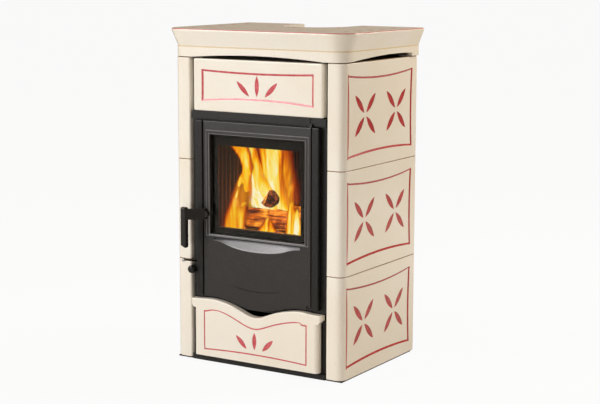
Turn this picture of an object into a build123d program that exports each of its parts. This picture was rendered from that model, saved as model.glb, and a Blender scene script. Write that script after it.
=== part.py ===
"""Tiled wood stove: cast-iron front, steel firebox, glazed ceramic tiles and crown.

Millimetres. X to the right, Y to the back, Z up. The origin is on the floor, under
the middle of the tiled body, and the door faces -Y.
"""

import os

from build123d import *

# ---- driving sizes ---------------------------------------------------------------
body_width = 614.0            # over the side tiles
body_depth = 456.0            # over the side tiles, front to back
tile_height = 318.8           # side tiles stand on each other
tile_rows = 3
tile_return = 59.0            # width of a side tile on the front of the stove
foot_height = 4.0
base_thickness = 4.0

# ---- clearances ------------------------------------------------------------------
soft_gap = 0.3                # beside curved or soft faces
running_gap = 0.05            # radial, shaft in hole
door_gap = 3.0                # round the edge of the door
frame_gap = 4.0               # front frame to side tiles
top_tile_gap = 13.0           # tile over the door to side tiles
drawer_tile_gap = 8.0         # ears of the drawer tile to side tiles

# ---- ceramic ---------------------------------------------------------------------
tile_thickness = 20.0
tile_corner_radius = 28.0
tile_edge_radius = 3.0
tile_return_radius = 6.0
groove_depth = 0.8            # engraved and painted ornament
line_width = 4.5
panel_depth = 2.5             # sunk panel of a side tile or the tile over the door
panel_bevel = 7.0             # its sloping edge, painted red
petal_width = 21.0
small_petal_width = 15.5
side_panel_margin = 22.0      # line frame to the front edge of a side tile
side_panel_rear_margin = 28.0
side_panel_low = 36.0         # line frame above the bottom of the tile
side_panel_drop = 34.8        # line frame below the top of the tile
side_panel_bow_top = 12.0
side_panel_bow_low = 9.0
side_panel_bow_side = 5.0
flower_spacing = 194.0        # between the two flowers of a side tile
flower_petal = 80.0
flower_eye_radius = 8.0              # from the middle of a flower to its petals

top_tile_drop = 2.4           # below the top of the side tiles
top_tile_height = 161.0
top_tile_front_offset = 1.0   # in front of the side tiles
top_tile_side_radius = 9.0
top_tile_edge_radius = 4.0
top_panel_margin = 32.0
top_panel_low = 29.0
top_panel_bow_top = 5.0
top_panel_bow_side = 0.5
top_panel_bow_low = 10.0
top_petal = 65.0
top_petal_spread = 28.0
top_petal_lift = 12.0         # foot of the petals above the line frame

drawer_tile_low = 25.0
drawer_tile_shoulder = 178.0  # underside of the ears
drawer_tile_high = 210.0
drawer_tile_front_offset = 15.0
drawer_tile_thickness = 22.0
drawer_tile_radius = 14.0
drawer_ear_radius = 9.0
ear_overhang = 12.0
drawer_wave_dip = 39.0        # wavy finger edge, at the middle
drawer_wave_knee = 66.0
drawer_wave_knee_drop = 19.0
drawer_wave_crest = 168.0
drawer_wave_side_drop = 4.0
drawer_panel_margin = 38.0
drawer_panel_low = 20.0
drawer_panel_drop = 34.0      # line frame below the wavy edge
drawer_panel_bow_low = 6.0
drawer_petal = 56.0
drawer_petal_spread = 29.0
drawer_petal_lift = 17.0

# ---- crown -----------------------------------------------------------------------
crown_pad = 2.0
crown_band = 31.6             # upright band at the bottom
crown_flare = 48.0
crown_rim = 8.0
crown_band_overhang = 6.0
crown_rim_overhang = 24.0
crown_step = 1.5              # shadow line between band and flare
crown_corner_radius = 50.0    # of the band
crown_rim_radius = 5.0
pad_length = 38.0             # pads between the crown and the side tiles
pad_width = 9.0
pad_edge = 1.8                # pads inside the faces of the tiles
crown_wall = 18.0
crown_arch_height = 10.0
crown_side_arch_front = 214.0
crown_side_arch_knee = 100.0
crown_side_arch_knee_height = 8.0
crown_side_arch_top = 60.0
crown_side_arch_height = 13.5
crown_side_arch_rear = 185.0
crown_side_arch_rear_height = 10.5
notch_radius = 110.0
notch_wall = 16.0
flue_to_rear = 98.0           # flue centre to the rear of the tiles
slot_length = 46.0
slot_width = 13.0
slot_ring_radius = 152.0
slot_ring_count = 5
slot_ring_start = 18.0        # degrees from +X
slot_ring_range = -270.0
slot_side_inset = 32.0        # side rows inside the width of the tiles
slot_side_pitch = 75.0
slot_side_count = 5
slot_front_inset = 58.0
slot_front_pitch = 79.0
slot_front_count = 6

# ---- base, chassis, firebox ------------------------------------------------------
base_inset = 5.0              # base plate inside the faces of the tiles
base_lip_height = 17.0
base_lip_inset = 2.0
foot_radius = 18.0
centre_pad_radius = 30.0
foot_inset = 50.0
sheet = 3.0
thin_sheet = 2.0
firebox_plate = 4.0
firebox_low = 226.0
firebox_lap = 23.5            # firebox outside the door opening
firebox_back_gap = 14.0       # firebox to the rear of the tiles
firebox_top_drop = 8.4        # firebox below the top of the side tiles
front_setback = 22.0          # front of the firebox behind the front of the tiles
hearth_height = 396.0
hearth_thickness = 8.0
ledge_width = 12.0
hob_overhang = 4.0
hob_setback = 1.0             # behind the front of the firebox
collar_radius = 75.0          # flue bore
collar_wall = 11.0
flue_step = 6.0               # ledge that the flue pipe stands on
collar_flange = 20.0
collar_flange_thickness = 6.0
collar_height = 72.0
collar_edge_radius = 2.75

# ---- front frame and door --------------------------------------------------------
frame_plate = 10.0
side_band = 21.0
rib_width = 24.0
rib_front_offset = 6.0        # in front of the tiles
rib_lift = 2.0                # ribs above the lower corners of the door
rib_rise = 1.0                # ribs above the top of the door
frame_band = 10.0             # top band in front of the plate
frame_band_height = 22.0
door_front_offset = 4.0
door_plate = 12.0
door_lap = 7.5                # door over the frame, each side
door_drop = 27.0              # door below the top of the frame
door_lift = 6.0               # lower corners of the door above the drawer tile
door_wave_reach = 160.0
door_wave_knee = 100.0
door_knee_drop = 8.0
door_wave_dip = 26.0
door_edge_radius = 2.5
opening_lift = 34.0           # door opening above the lower corners of the door
opening_drop = 21.0
drawer_opening_high = 186.0
drawer_opening_lap = 6.0      # frame over the chassis, each side

glass_stile = 24.0            # daylight of the glass inside the edge of the door
glass_lift = 202.0
glass_drop = 43.0
glass_thickness = 4.0
glass_overlap = 2.5
gasket_thickness = 2.3
glass_play = 0.5
ring_wall = 2.5
ring_depth = 12.0
bevel_radius = 6.0
groove_width = 2.5
groove_cut = 1.2
groove_offset = 15.0          # outer edge of the moulding from the daylight
groove_offset_low = 8.0
sill_drop = 12.0              # scooped sill below the daylight
sill_height_side = 9.0
sill_height_knee = 23.0
sill_height_middle = 33.0
sill_half_width = 158.0
sill_knee = 95.0
sill_depth = 10.0
sill_edge = 0.5               # blunt top edge of the scoop
crease_lift_side = 59.0
crease_lift_knee = 46.0
crease_lift_middle = 31.0
crease_knee = 100.0
crease_depth = 1.0
clip_length = 120.0
clip_reach = 12.0
rope_width = 4.0
rope_play = 0.5               # rope outside the opening of the frame

hinge_edge = 5.0              # hinge axis from the edge of the door
hinge_setback = 5.0           # hinge axis behind the front of the door
hinge_pin_radius = 3.0
hinge_pin_engagement = 14.0
hinge_pin_play = 1.0          # bore deeper than the pin
hinge_lug = 10.0
hinge_lug_half_width = 8.0
hinge_washer = 2.0
hinge_cheek = 2.0             # free space beside the lower lug

# ---- handle and latch ------------------------------------------------------------
handle_edge = 14.0            # handle spindle from the edge of the door
handle_lift = 62.0            # handle spindle above the bottom of the glass
spindle_radius = 4.0
stud_radius = 2.5
hub_radius = 10.0
hub_length = 12.0
hub_gap = 1.5
arm_height = 34.0
arm_thickness = 12.0
arm_overlap = 1.0             # arm into the grip
grip_offset = 50.0            # grip beside the spindle
grip_front_offset = 53.0      # middle of the grip in front of the door
grip_top = 23.0               # above the spindle
grip_length = 131.0
grip_width = 21.0
grip_depth = 18.0
grip_slant = 10.0
grip_radius = 5.0
cam_length = 22.0
cam_thickness = 6.0
cam_gap = 4.0                 # cam behind the frame
nut_radius = 4.0
nut_height = 4.0
keeper_thickness = 2.8
keeper_gap = 1.5              # beside the door opening
keeper_width = 17.0
keeper_height = 24.0

# ---- air controls ----------------------------------------------------------------
air_edge = 13.2               # controls beside the rib
primary_drop = 24.0           # knob under the rod
knob_radius = 12.5
knob_depth = 21.0
knob_gap = 14.0               # knob in front of the frame plate
knob_dome = 7.0
knob_bore = 15.0
air_spindle_radius = 4.0
disc_radius = 13.0
air_hole_radius = 3.0
air_hole_circle = 9.0
air_hole_count = 3
air_hole_angle = 60.0
secondary_drop = 50.0         # rod under the grip of the handle
rod_radius = 3.0
rod_straight = 6.0            # straight part in front of the frame plate
rod_reach = 68.0              # tip in front of the frame plate
rod_rise = 14.0
rod_bend = 20.0
rod_inside = 46.0
ball_radius = 6.5
air_box_width = 48.0
air_box_below = 30.0          # under the knob
air_box_above = 40.0          # over the rod
air_box_hole_gap = 1.0        # round the spindle and the rod
air_box_depth = 116.0
shutter_length = 80.0
shutter_height = 38.0
shutter_below = 15.2          # under the rod
shutter_front = 31.0          # behind the back of the frame
tab_height = 16.0
window_length = 60.0
window_height = 22.0
window_front = 41.0           # behind the front of the firebox

# ---- drawer ----------------------------------------------------------------------
drawer_play = 8.0             # beside the drawer box
drawer_box_low = 34.0
drawer_box_high = 165.0
drawer_box_depth = 371.0
runner_leg = 24.0
runner_height = 26.0

# ---- lining, grate, fire ---------------------------------------------------------
lining = 28.0
lining_front = 36.0           # behind the front of the firebox
lining_height = 376.0
lining_gap = 2.0
baffle_thickness = 22.0
baffle_front = 136.0
grate_width = 240.0
grate_depth = 200.0
grate_thickness = 10.0
grate_setback = 50.0          # behind the front of the lining
grate_rim = 14.0
grate_bars = 9
grate_gap = 12.0
log_guard_height = 30.0
log_guard_thickness = 8.0
flute_pitch = 22.0            # upright flutes of the lining
flute_radius = 12.0
flute_depth = 4.5
log_radius = 34.0
log_length = 240.0
log_shift = 20.0              # front log to the left, rear log to the right
log_spacing = 88.0
log_split = 0.42              # split face from the heart, in log radii
log_lean = 24.0               # split face of a log on the grate from the upright
top_log_radius = 31.0
top_log_length = 142.0
top_log_angle = -50.0
top_log_left = 104.0          # middle of the top log from the middle of the grate
top_log_setback = 8.0
pan_width = 280.0
pan_depth = 290.0
pan_height = 70.0

# ---- rails and shields -----------------------------------------------------------
rail_flange = 25.0
rail_front = -60.0
rail_rear = 150.0
rail_drop = 26.4              # below the top of the side tiles
ledge_sheet = 3.0
shield_sheet = 1.5
shield_setback = 4.5
shield_drop = 1.0             # below the top of the side tiles
shield_play = 0.5             # beside the side tiles
vent_width = 10.0
vent_length = 60.0
vent_pitch = 90.0
vent_count = 5
vent_rows = 658.0             # between the two rows of vents
spacer_radius = 10.0
spacer_columns = 296.8
spacer_rows = 511.0

# ---- worked out ------------------------------------------------------------------
half_width = body_width / 2
half_depth = body_depth / 2
base_top = foot_height + base_thickness
tiles_top = base_top + tile_rows * tile_height
return_edge = half_width - tile_return
tile_inner = half_width - tile_thickness

frame_half = return_edge - frame_gap
rib_outer = frame_half - side_band
rib_inner = rib_outer - rib_width
door_half = rib_inner - door_gap
opening_half = door_half - door_lap
body_half = opening_half + firebox_lap
glass_half = door_half - glass_stile

frame_back = half_depth - front_setback
frame_front = frame_back + frame_plate
rib_front = half_depth + rib_front_offset
door_front = half_depth + door_front_offset
door_back = door_front - door_plate
glass_front = door_back - gasket_thickness
glass_back = glass_front - glass_thickness
ring_back = door_back - ring_depth

top_tile_high = tiles_top - top_tile_drop
top_tile_low = top_tile_high - top_tile_height
frame_top = top_tile_low - ledge_sheet
band_low = frame_top - frame_band_height
door_top = frame_top - door_drop
door_low = drawer_tile_high + door_lift
glass_low = door_low + glass_lift
glass_high = door_top - glass_drop
opening_low = door_low + opening_lift
opening_high = door_top - opening_drop

firebox_rear = half_depth - firebox_back_gap
firebox_top = tiles_top - firebox_top_drop
flue_y = half_depth - flue_to_rear
floor_height = hearth_height + hearth_thickness
lining_top = floor_height + lining_height
hob_top = firebox_top + hearth_thickness
crown_bottom = tiles_top + crown_pad
crown_top = crown_bottom + crown_band + crown_flare + crown_rim

hinge_x = door_half - hinge_edge
hinge_front = door_front - hinge_setback
lower_lug_top = door_low + hinge_lug
handle_x = -(door_half - handle_edge)
handle_z = glass_low + handle_lift
grip_high = handle_z + grip_top
grip_low = grip_high - grip_length
cam_front = frame_back - cam_gap
air_x = -(rib_outer + air_edge)
secondary_height = grip_low - secondary_drop
primary_height = secondary_height - primary_drop
air_box_low = primary_height - air_box_below
air_box_high = secondary_height + air_box_above

os.makedirs("parts", exist_ok=True)


def save(piece, name):
    """Label a finished piece and write it."""
    piece.part.label = name
    export_step(piece.part, f"parts/{name}.step")


def front_plane(distance):
    """Sketch plane that faces the viewer, the given distance in front of the origin."""
    return Plane.XZ.offset(distance)


def block(x_low, x_high, y_low, y_high, z_low, z_high, mode=Mode.ADD):
    """Rectangular block between its six faces."""
    middle = ((x_low + x_high) / 2, (y_low + y_high) / 2, (z_low + z_high) / 2)
    with Locations(middle):
        Box(abs(x_high - x_low), y_high - y_low, z_high - z_low, mode=mode)


def shaft(x, z, radius, front, length, mode=Mode.ADD):
    """Round bar along Y whose front end is the given distance in front of the origin."""
    with Locations(Location((x, -front + length / 2, z), (90, 0, 0))):
        Cylinder(radius, length, mode=mode)


def bowed_panel(x_low, x_high, z_low, z_high, bow_side, bow_top, bow_low):
    """Panel whose four sides bow inwards."""
    x_mid = (x_low + x_high) / 2
    z_mid = (z_low + z_high) / 2
    with BuildSketch() as panel:
        with BuildLine():
            ThreePointArc((x_low, z_high), (x_mid, z_high - bow_top), (x_high, z_high))
            ThreePointArc((x_high, z_high), (x_high - bow_side, z_mid), (x_high, z_low))
            ThreePointArc((x_high, z_low), (x_mid, z_low + bow_low), (x_low, z_low))
            ThreePointArc((x_low, z_low), (x_low + bow_side, z_mid), (x_low, z_high))
        make_face()
    return panel.sketch


def sunk_panel(plane, x_low, x_high, z_low, z_high, *bows):
    """The material that is missing over a sunk panel with sloping edges."""
    with BuildPart() as sunk:
        with BuildSketch(plane):
            add(bowed_panel(x_low, x_high, z_low, z_high, *bows))
        with BuildSketch(plane.offset(-panel_depth)):
            add(
                bowed_panel(
                    x_low + panel_bevel,
                    x_high - panel_bevel,
                    z_low + panel_bevel,
                    z_high - panel_bevel,
                    *bows,
                )
            )
        loft(ruled=True)
    return sunk.part


def petal(length, width):
    """Pointed petal that starts at the origin and points along +X."""
    with BuildSketch() as leaf:
        with BuildLine():
            ThreePointArc((0, 0), (length / 2, width / 2), (length, 0))
            ThreePointArc((length, 0), (length / 2, -width / 2), (0, 0))
        make_face()
    return leaf.sketch


def petal_fan(length, width, spread):
    """Three petals that open upwards."""
    leaf = petal(length, width)
    with BuildSketch() as fan:
        add(leaf, rotation=90)
        with Locations((spread, 0)):
            add(leaf, rotation=45)
        with Locations((-spread, 0)):
            add(leaf, rotation=135)
    return fan.sketch


def wave(*right_half):
    """Smooth symmetrical edge, left to right, from the points of its right half."""
    left_half = [(-x, z) for x, z in reversed(right_half[1:])]
    Spline(*left_half, *right_half, tangents=[(1, 0), (1, 0)])


# ==== ceramic =====================================================================

# A side tile for the right hand side, standing on Z = 0, an L in plan.
side_panel = sunk_panel(
    Plane.YZ.offset(half_width),
    -half_depth + side_panel_margin,
    half_depth - side_panel_rear_margin,
    side_panel_low,
    tile_height - side_panel_drop,
    side_panel_bow_side,
    side_panel_bow_top,
    side_panel_bow_low,
)
with BuildPart() as tile_blank:
    with BuildSketch() as tile_plan:
        with BuildLine():
            Polyline(
                (return_edge, -half_depth),
                (half_width, -half_depth),
                (half_width, half_depth),
                (tile_inner, half_depth),
                (tile_inner, -half_depth + tile_thickness),
                (return_edge, -half_depth + tile_thickness),
                close=True,
            )
        make_face()
        outer_corner = tile_plan.vertices().sort_by_distance((half_width, -half_depth))[0]
        fillet(outer_corner, tile_corner_radius)
        return_corner = tile_plan.vertices().sort_by_distance((return_edge, -half_depth))[0]
        fillet(return_corner, tile_return_radius)
    extrude(amount=tile_height)
    outer_face = tile_blank.faces().filter_by(Axis.X).sort_by(Axis.X)[-1]
    fillet(outer_face.edges().filter_by(Axis.Y), tile_edge_radius)
    add(side_panel, mode=Mode.SUBTRACT)
    with BuildSketch(Plane.YZ.offset(half_width - panel_depth)):
        for flower_y in (-flower_spacing / 2, flower_spacing / 2):
            with Locations((flower_y, tile_height / 2)):
                with PolarLocations(flower_eye_radius, 4, start_angle=45):
                    add(petal(flower_petal, petal_width))
    extrude(amount=-groove_depth, mode=Mode.SUBTRACT)

row_names = ("lower", "middle", "upper")
for row in range(tile_rows):
    with BuildPart() as right_tile:
        with Locations((0, 0, base_top + row * tile_height)):
            add(tile_blank.part)
    save(right_tile, f"right_tile_{row_names[row]}")
    with BuildPart() as left_tile:
        mirror(right_tile.part, about=Plane.YZ)
    save(left_tile, f"left_tile_{row_names[row]}")

# The tile over the door.
top_tile_half = return_edge - top_tile_gap
top_tile_front = half_depth + top_tile_front_offset
top_panel = sunk_panel(
    front_plane(top_tile_front),
    -top_tile_half + top_panel_margin,
    top_tile_half - top_panel_margin,
    top_tile_low + top_panel_low,
    top_tile_high - top_panel_margin,
    top_panel_bow_side,
    top_panel_bow_top,
    top_panel_bow_low,
)
with BuildPart() as top_tile:
    block(
        -top_tile_half,
        top_tile_half,
        -top_tile_front,
        -frame_back,
        top_tile_low,
        top_tile_high,
    )
    upright_edges = top_tile.faces().sort_by(Axis.Y)[0].edges().filter_by(Axis.Z)
    fillet(upright_edges, top_tile_side_radius)
    level_edges = top_tile.faces().sort_by(Axis.Y)[0].edges().filter_by(Axis.X)
    fillet(level_edges, top_tile_edge_radius)
    add(top_panel, mode=Mode.SUBTRACT)
    with BuildSketch(front_plane(top_tile_front - panel_depth)):
        foot = top_tile_low + top_panel_low + top_panel_bow_low + top_petal_lift
        with Locations((0, foot)):
            add(petal_fan(top_petal, small_petal_width, top_petal_spread))
    extrude(amount=-groove_depth, mode=Mode.SUBTRACT)
save(top_tile, "top_tile")

# The tile on the drawer: ears at the top corners and a wavy edge for the fingers.
ear_half = return_edge - drawer_tile_gap
drawer_tile_half = ear_half - ear_overhang
drawer_tile_front = half_depth + drawer_tile_front_offset
drawer_tile_back = drawer_tile_front - drawer_tile_thickness


def wavy_edge(reach, high):
    """The wavy line of the drawer tile, from side to side."""
    wave(
        (0, high - drawer_wave_dip),
        (drawer_wave_knee, high - drawer_wave_knee_drop),
        (drawer_wave_crest, high),
        (reach, high - drawer_wave_side_drop),
    )


def wavy_panel(half, high, foot):
    """Panel under a wavy edge, with a bowed foot."""
    side_high = high - drawer_wave_side_drop
    with BuildSketch() as panel:
        with BuildLine():
            wavy_edge(half, high)
            Line((half, side_high), (half, foot))
            ThreePointArc((half, foot), (0, foot + drawer_panel_bow_low), (-half, foot))
            Line((-half, foot), (-half, side_high))
        make_face()
    return panel.sketch


def rounded_plan(half, radius):
    """Plan of the drawer tile with rounded front corners."""
    with BuildSketch() as plan:
        with Locations((0, -drawer_tile_front)):
            Rectangle(2 * half, drawer_tile_thickness, align=(Align.CENTER, Align.MIN))
        fillet(plan.vertices().group_by(Axis.Y)[0], radius)
    return plan.sketch


ear_high = drawer_tile_high - drawer_wave_side_drop
with BuildPart() as drawer_tile_blank:
    with BuildSketch(front_plane(drawer_tile_back)) as drawer_outline:
        with BuildLine():
            wavy_edge(ear_half, drawer_tile_high)
            Polyline(
                (ear_half, ear_high),
                (ear_half, drawer_tile_shoulder + ear_overhang),
                (drawer_tile_half, drawer_tile_shoulder),
                (drawer_tile_half, drawer_tile_low),
                (-drawer_tile_half, drawer_tile_low),
                (-drawer_tile_half, drawer_tile_shoulder),
                (-ear_half, drawer_tile_shoulder + ear_overhang),
                (-ear_half, ear_high),
            )
        make_face()
    extrude(amount=drawer_tile_thickness)
with BuildPart() as drawer_tile_rounding:
    with BuildSketch(Plane.XY.offset(drawer_tile_low)):
        add(rounded_plan(drawer_tile_half, drawer_tile_radius))
    extrude(amount=drawer_tile_shoulder - drawer_tile_low)
    with BuildSketch(Plane.XY.offset(drawer_tile_shoulder)):
        add(rounded_plan(ear_half, drawer_ear_radius))
    extrude(amount=drawer_tile_high - drawer_tile_shoulder)

# Its engraved frame follows the wavy edge.
panel_half = drawer_tile_half - drawer_panel_margin
panel_high = drawer_tile_high - drawer_panel_drop
panel_foot = drawer_tile_low + drawer_panel_low
with BuildPart() as drawer_tile:
    add(drawer_tile_blank.part)
    add(drawer_tile_rounding.part, mode=Mode.INTERSECT)
    front_edges = drawer_tile.faces().filter_by(Axis.Y).sort_by(Axis.Y)[0].edges()
    fillet(front_edges.filter_by(GeomType.BSPLINE), tile_edge_radius)
    with BuildSketch(front_plane(drawer_tile_front)):
        add(wavy_panel(panel_half, panel_high, panel_foot))
        add(
            wavy_panel(panel_half - line_width, panel_high - line_width, panel_foot + line_width),
            mode=Mode.SUBTRACT,
        )
        with Locations((0, panel_foot + drawer_panel_bow_low + drawer_petal_lift)):
            add(petal_fan(drawer_petal, small_petal_width, drawer_petal_spread))
    extrude(amount=-groove_depth, mode=Mode.SUBTRACT)
save(drawer_tile, "drawer_tile")


def crown_outline(overhang, radius):
    """Plan of the crown: rounded front corners, straight back."""
    half = half_width + overhang
    front = -half_depth - overhang
    with BuildSketch() as outline:
        with BuildLine():
            Polyline(
                (-half, half_depth),
                (-half, front),
                (half, front),
                (half, half_depth),
                close=True,
            )
        make_face()
        fillet(outline.vertices().group_by(Axis.Y)[0], radius)
    return outline.sketch


def notch_outline(radius):
    """Plan of the space for the flue, open to the back."""
    with BuildSketch() as outline:
        with Locations((0, flue_y)):
            Circle(radius)
        with Locations((0, flue_y)):
            Rectangle(2 * radius, 2 * flue_to_rear, align=(Align.CENTER, Align.MIN))
    return outline.sketch


def warm_air_slot():
    """Petal-shaped slot along X, centred."""
    with BuildSketch() as slot:
        with Locations((-slot_length / 2, 0)):
            add(petal(slot_length, slot_width))
    return slot.sketch


# The crown: a hollow cornice with a notch for the flue pipe.
flare_low = crown_bottom + crown_band
flare_high = flare_low + crown_flare
corner_shift = crown_rim_overhang - crown_band_overhang
rim_corner = crown_corner_radius + corner_shift
with BuildPart() as crown_body:
    with BuildSketch(Plane.XY.offset(crown_bottom)):
        add(crown_outline(crown_band_overhang, crown_corner_radius))
    extrude(amount=crown_band)
    with BuildSketch(Plane.XY.offset(flare_low)):
        add(crown_outline(crown_band_overhang - crown_step, crown_corner_radius))
    with BuildSketch(Plane.XY.offset(flare_high)):
        add(crown_outline(crown_rim_overhang, rim_corner))
    loft(ruled=True)
    with BuildSketch(Plane.XY.offset(flare_high)):
        add(crown_outline(crown_rim_overhang, rim_corner))
    extrude(amount=crown_rim)
    top_outline = crown_body.faces().sort_by(Axis.Z)[-1].edges()
    fillet(top_outline, crown_rim_radius)
    with BuildSketch(Plane.XY.offset(crown_bottom)):
        add(crown_outline(crown_band_overhang - crown_wall, crown_corner_radius - crown_wall))
        with Locations((0, half_depth)):
            Rectangle(body_width, 2 * crown_wall, mode=Mode.SUBTRACT)
        add(notch_outline(notch_radius + notch_wall), mode=Mode.SUBTRACT)
    extrude(amount=crown_top - crown_wall - crown_bottom, mode=Mode.SUBTRACT)
    with BuildSketch(Plane.XY.offset(crown_bottom)):
        add(notch_outline(notch_radius))
    extrude(amount=crown_top - crown_bottom, mode=Mode.SUBTRACT)

# Its warm-air gaps over the front and side tiles.
front_arch_reach = half_depth + crown_rim_overhang
with BuildPart() as crown_arches:
    with BuildSketch(front_plane(half_depth - crown_wall)):
        with BuildLine():
            ThreePointArc(
                (-top_tile_half, crown_bottom),
                (0, crown_bottom + crown_arch_height),
                (top_tile_half, crown_bottom),
            )
            Line((top_tile_half, crown_bottom), (-top_tile_half, crown_bottom))
        make_face()
    extrude(amount=crown_wall + crown_rim_overhang)
    with BuildSketch(Plane.YZ.offset(-half_width - crown_rim_overhang)):
        with BuildLine():
            Spline(
                (-crown_side_arch_front, crown_bottom),
                (-crown_side_arch_knee, crown_bottom + crown_side_arch_knee_height),
                (crown_side_arch_top, crown_bottom + crown_side_arch_height),
                (crown_side_arch_rear, crown_bottom + crown_side_arch_rear_height),
            )
            Polyline(
                (crown_side_arch_rear, crown_bottom + crown_side_arch_rear_height),
                (crown_side_arch_rear, crown_bottom),
                (-crown_side_arch_front, crown_bottom),
            )
        make_face()
    extrude(amount=body_width + 2 * crown_rim_overhang)

# Warm-air slots: a row along each side, a row at the front, a ring round the flue.
slot_x = half_width - slot_side_inset
slot_y = -half_depth + slot_front_inset
slot_row_middle = slot_y + slot_side_pitch * (slot_side_count - 1) / 2
with BuildPart() as crown_slots:
    with BuildSketch(Plane.XY.offset(crown_top - crown_wall)):
        with Locations((0, slot_row_middle)):
            with GridLocations(2 * slot_x, slot_side_pitch, 2, slot_side_count):
                add(warm_air_slot(), rotation=90)
        with Locations((0, slot_y)):
            with GridLocations(slot_front_pitch, 1, slot_front_count, 1):
                add(warm_air_slot())
        with Locations((0, flue_y)):
            with PolarLocations(slot_ring_radius, slot_ring_count, slot_ring_start, slot_ring_range):
                add(warm_air_slot())
    extrude(amount=crown_wall)

with BuildPart() as crown:
    add(crown_body.part)
    add(crown_arches.part, mode=Mode.SUBTRACT)
    add(crown_slots.part, mode=Mode.SUBTRACT)
save(crown, "crown")

# Pads that keep the crown off the side tiles.
pad_front = -half_depth + sheet
with BuildPart() as front_pad:
    block(
        return_edge + sheet,
        return_edge + sheet + pad_length,
        pad_front,
        pad_front + pad_width,
        tiles_top,
        crown_bottom,
    )
save(front_pad, "crown_pad_front_right")
with BuildPart() as front_pad_left:
    mirror(front_pad.part, about=Plane.YZ)
save(front_pad_left, "crown_pad_front_left")
with BuildPart() as rear_pad:
    block(
        half_width - pad_edge - pad_width,
        half_width - pad_edge,
        half_depth - pad_length,
        half_depth - sheet,
        tiles_top,
        crown_bottom,
    )
save(rear_pad, "crown_pad_rear_right")
with BuildPart() as rear_pad_left:
    mirror(rear_pad.part, about=Plane.YZ)
save(rear_pad_left, "crown_pad_rear_left")

# ==== base, chassis and firebox ===================================================

base_half = half_width - base_inset
base_front = half_depth - base_lip_inset - sheet
with BuildPart() as base_plate:
    block(-base_half, base_half, -base_front, half_depth - base_inset, foot_height, base_top)
    block(
        -frame_half,
        frame_half,
        -base_front - sheet,
        -base_front,
        foot_height,
        foot_height + base_lip_height,
    )
    Cylinder(centre_pad_radius, foot_height, align=(Align.CENTER, Align.CENTER, Align.MIN))
save(base_plate, "base_plate")

foot_x = half_width - foot_inset
foot_y = half_depth - foot_inset
for side, side_name in ((1, "right"), (-1, "left")):
    for end, end_name in ((-1, "front"), (1, "rear")):
        with BuildPart() as foot_pad:
            with Locations((side * foot_x, end * foot_y, foot_height / 2)):
                Cylinder(foot_radius, foot_height)
        save(foot_pad, f"foot_{end_name}_{side_name}")

# The folded sheet under the firebox, open at the front for the drawer.
with BuildPart() as chassis:
    block(-body_half, body_half, -frame_back, firebox_rear, base_top, firebox_low)
    block(
        -body_half + sheet,
        body_half - sheet,
        -frame_back,
        firebox_rear - sheet,
        base_top,
        firebox_low,
        mode=Mode.SUBTRACT,
    )
save(chassis, "chassis")

# The welded firebox, with a full opening at the front and ledges for the hearth.
inner_half = body_half - firebox_plate
inner_rear = firebox_rear - firebox_plate
inner_low = firebox_low + firebox_plate
flue_hole_radius = collar_radius - flue_step
window_front_y = -frame_back + window_front
with BuildPart() as firebox:
    block(-body_half, body_half, -frame_back, firebox_rear, firebox_low, firebox_top)
    block(
        -inner_half,
        inner_half,
        -frame_back + firebox_plate,
        inner_rear,
        inner_low,
        firebox_top - firebox_plate,
        mode=Mode.SUBTRACT,
    )
    block(
        -inner_half,
        inner_half,
        -frame_back,
        -frame_back + firebox_plate,
        inner_low,
        opening_high,
        mode=Mode.SUBTRACT,
    )
    with Locations((0, flue_y, firebox_top)):
        Cylinder(flue_hole_radius, 3 * firebox_plate, mode=Mode.SUBTRACT)
    for side in (-1, 1):
        block(
            side * inner_half,
            side * (inner_half - ledge_width),
            -frame_back,
            inner_rear,
            hearth_height - ledge_width,
            hearth_height,
        )
    for height in (primary_height - window_height / 2, secondary_height + window_height / 4):
        block(
            -body_half,
            -inner_half,
            window_front_y,
            window_front_y + window_length,
            height - window_height / 2,
            height + window_height / 2,
            mode=Mode.SUBTRACT,
        )
save(firebox, "firebox")

# The cast-iron plate on the firebox and the collar for the flue pipe.
hob_half = body_half + hob_overhang
with BuildPart() as hob_plate:
    block(
        -hob_half,
        hob_half,
        -frame_back + hob_setback,
        firebox_rear + hob_overhang,
        firebox_top,
        hob_top,
    )
    with Locations((0, flue_y, hob_top)):
        Cylinder(flue_hole_radius, 3 * hearth_thickness, mode=Mode.SUBTRACT)
save(hob_plate, "hob_plate")

with BuildPart() as flue_collar:
    with BuildSketch(Plane.XY.offset(hob_top)):
        with Locations((0, flue_y)):
            Circle(collar_radius + collar_flange)
    extrude(amount=collar_flange_thickness)
    with BuildSketch(Plane.XY.offset(hob_top)):
        with Locations((0, flue_y)):
            Circle(collar_radius + collar_wall)
    extrude(amount=collar_height)
    with BuildSketch(Plane.XY.offset(hob_top)):
        with Locations((0, flue_y)):
            Circle(collar_radius)
    extrude(amount=collar_height, mode=Mode.SUBTRACT)
    top_rim = flue_collar.faces().sort_by(Axis.Z)[-1].edges().sort_by(SortBy.LENGTH)[-1]
    fillet(top_rim, collar_edge_radius)
save(flue_collar, "flue_collar")

# ==== front frame =================================================================

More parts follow.
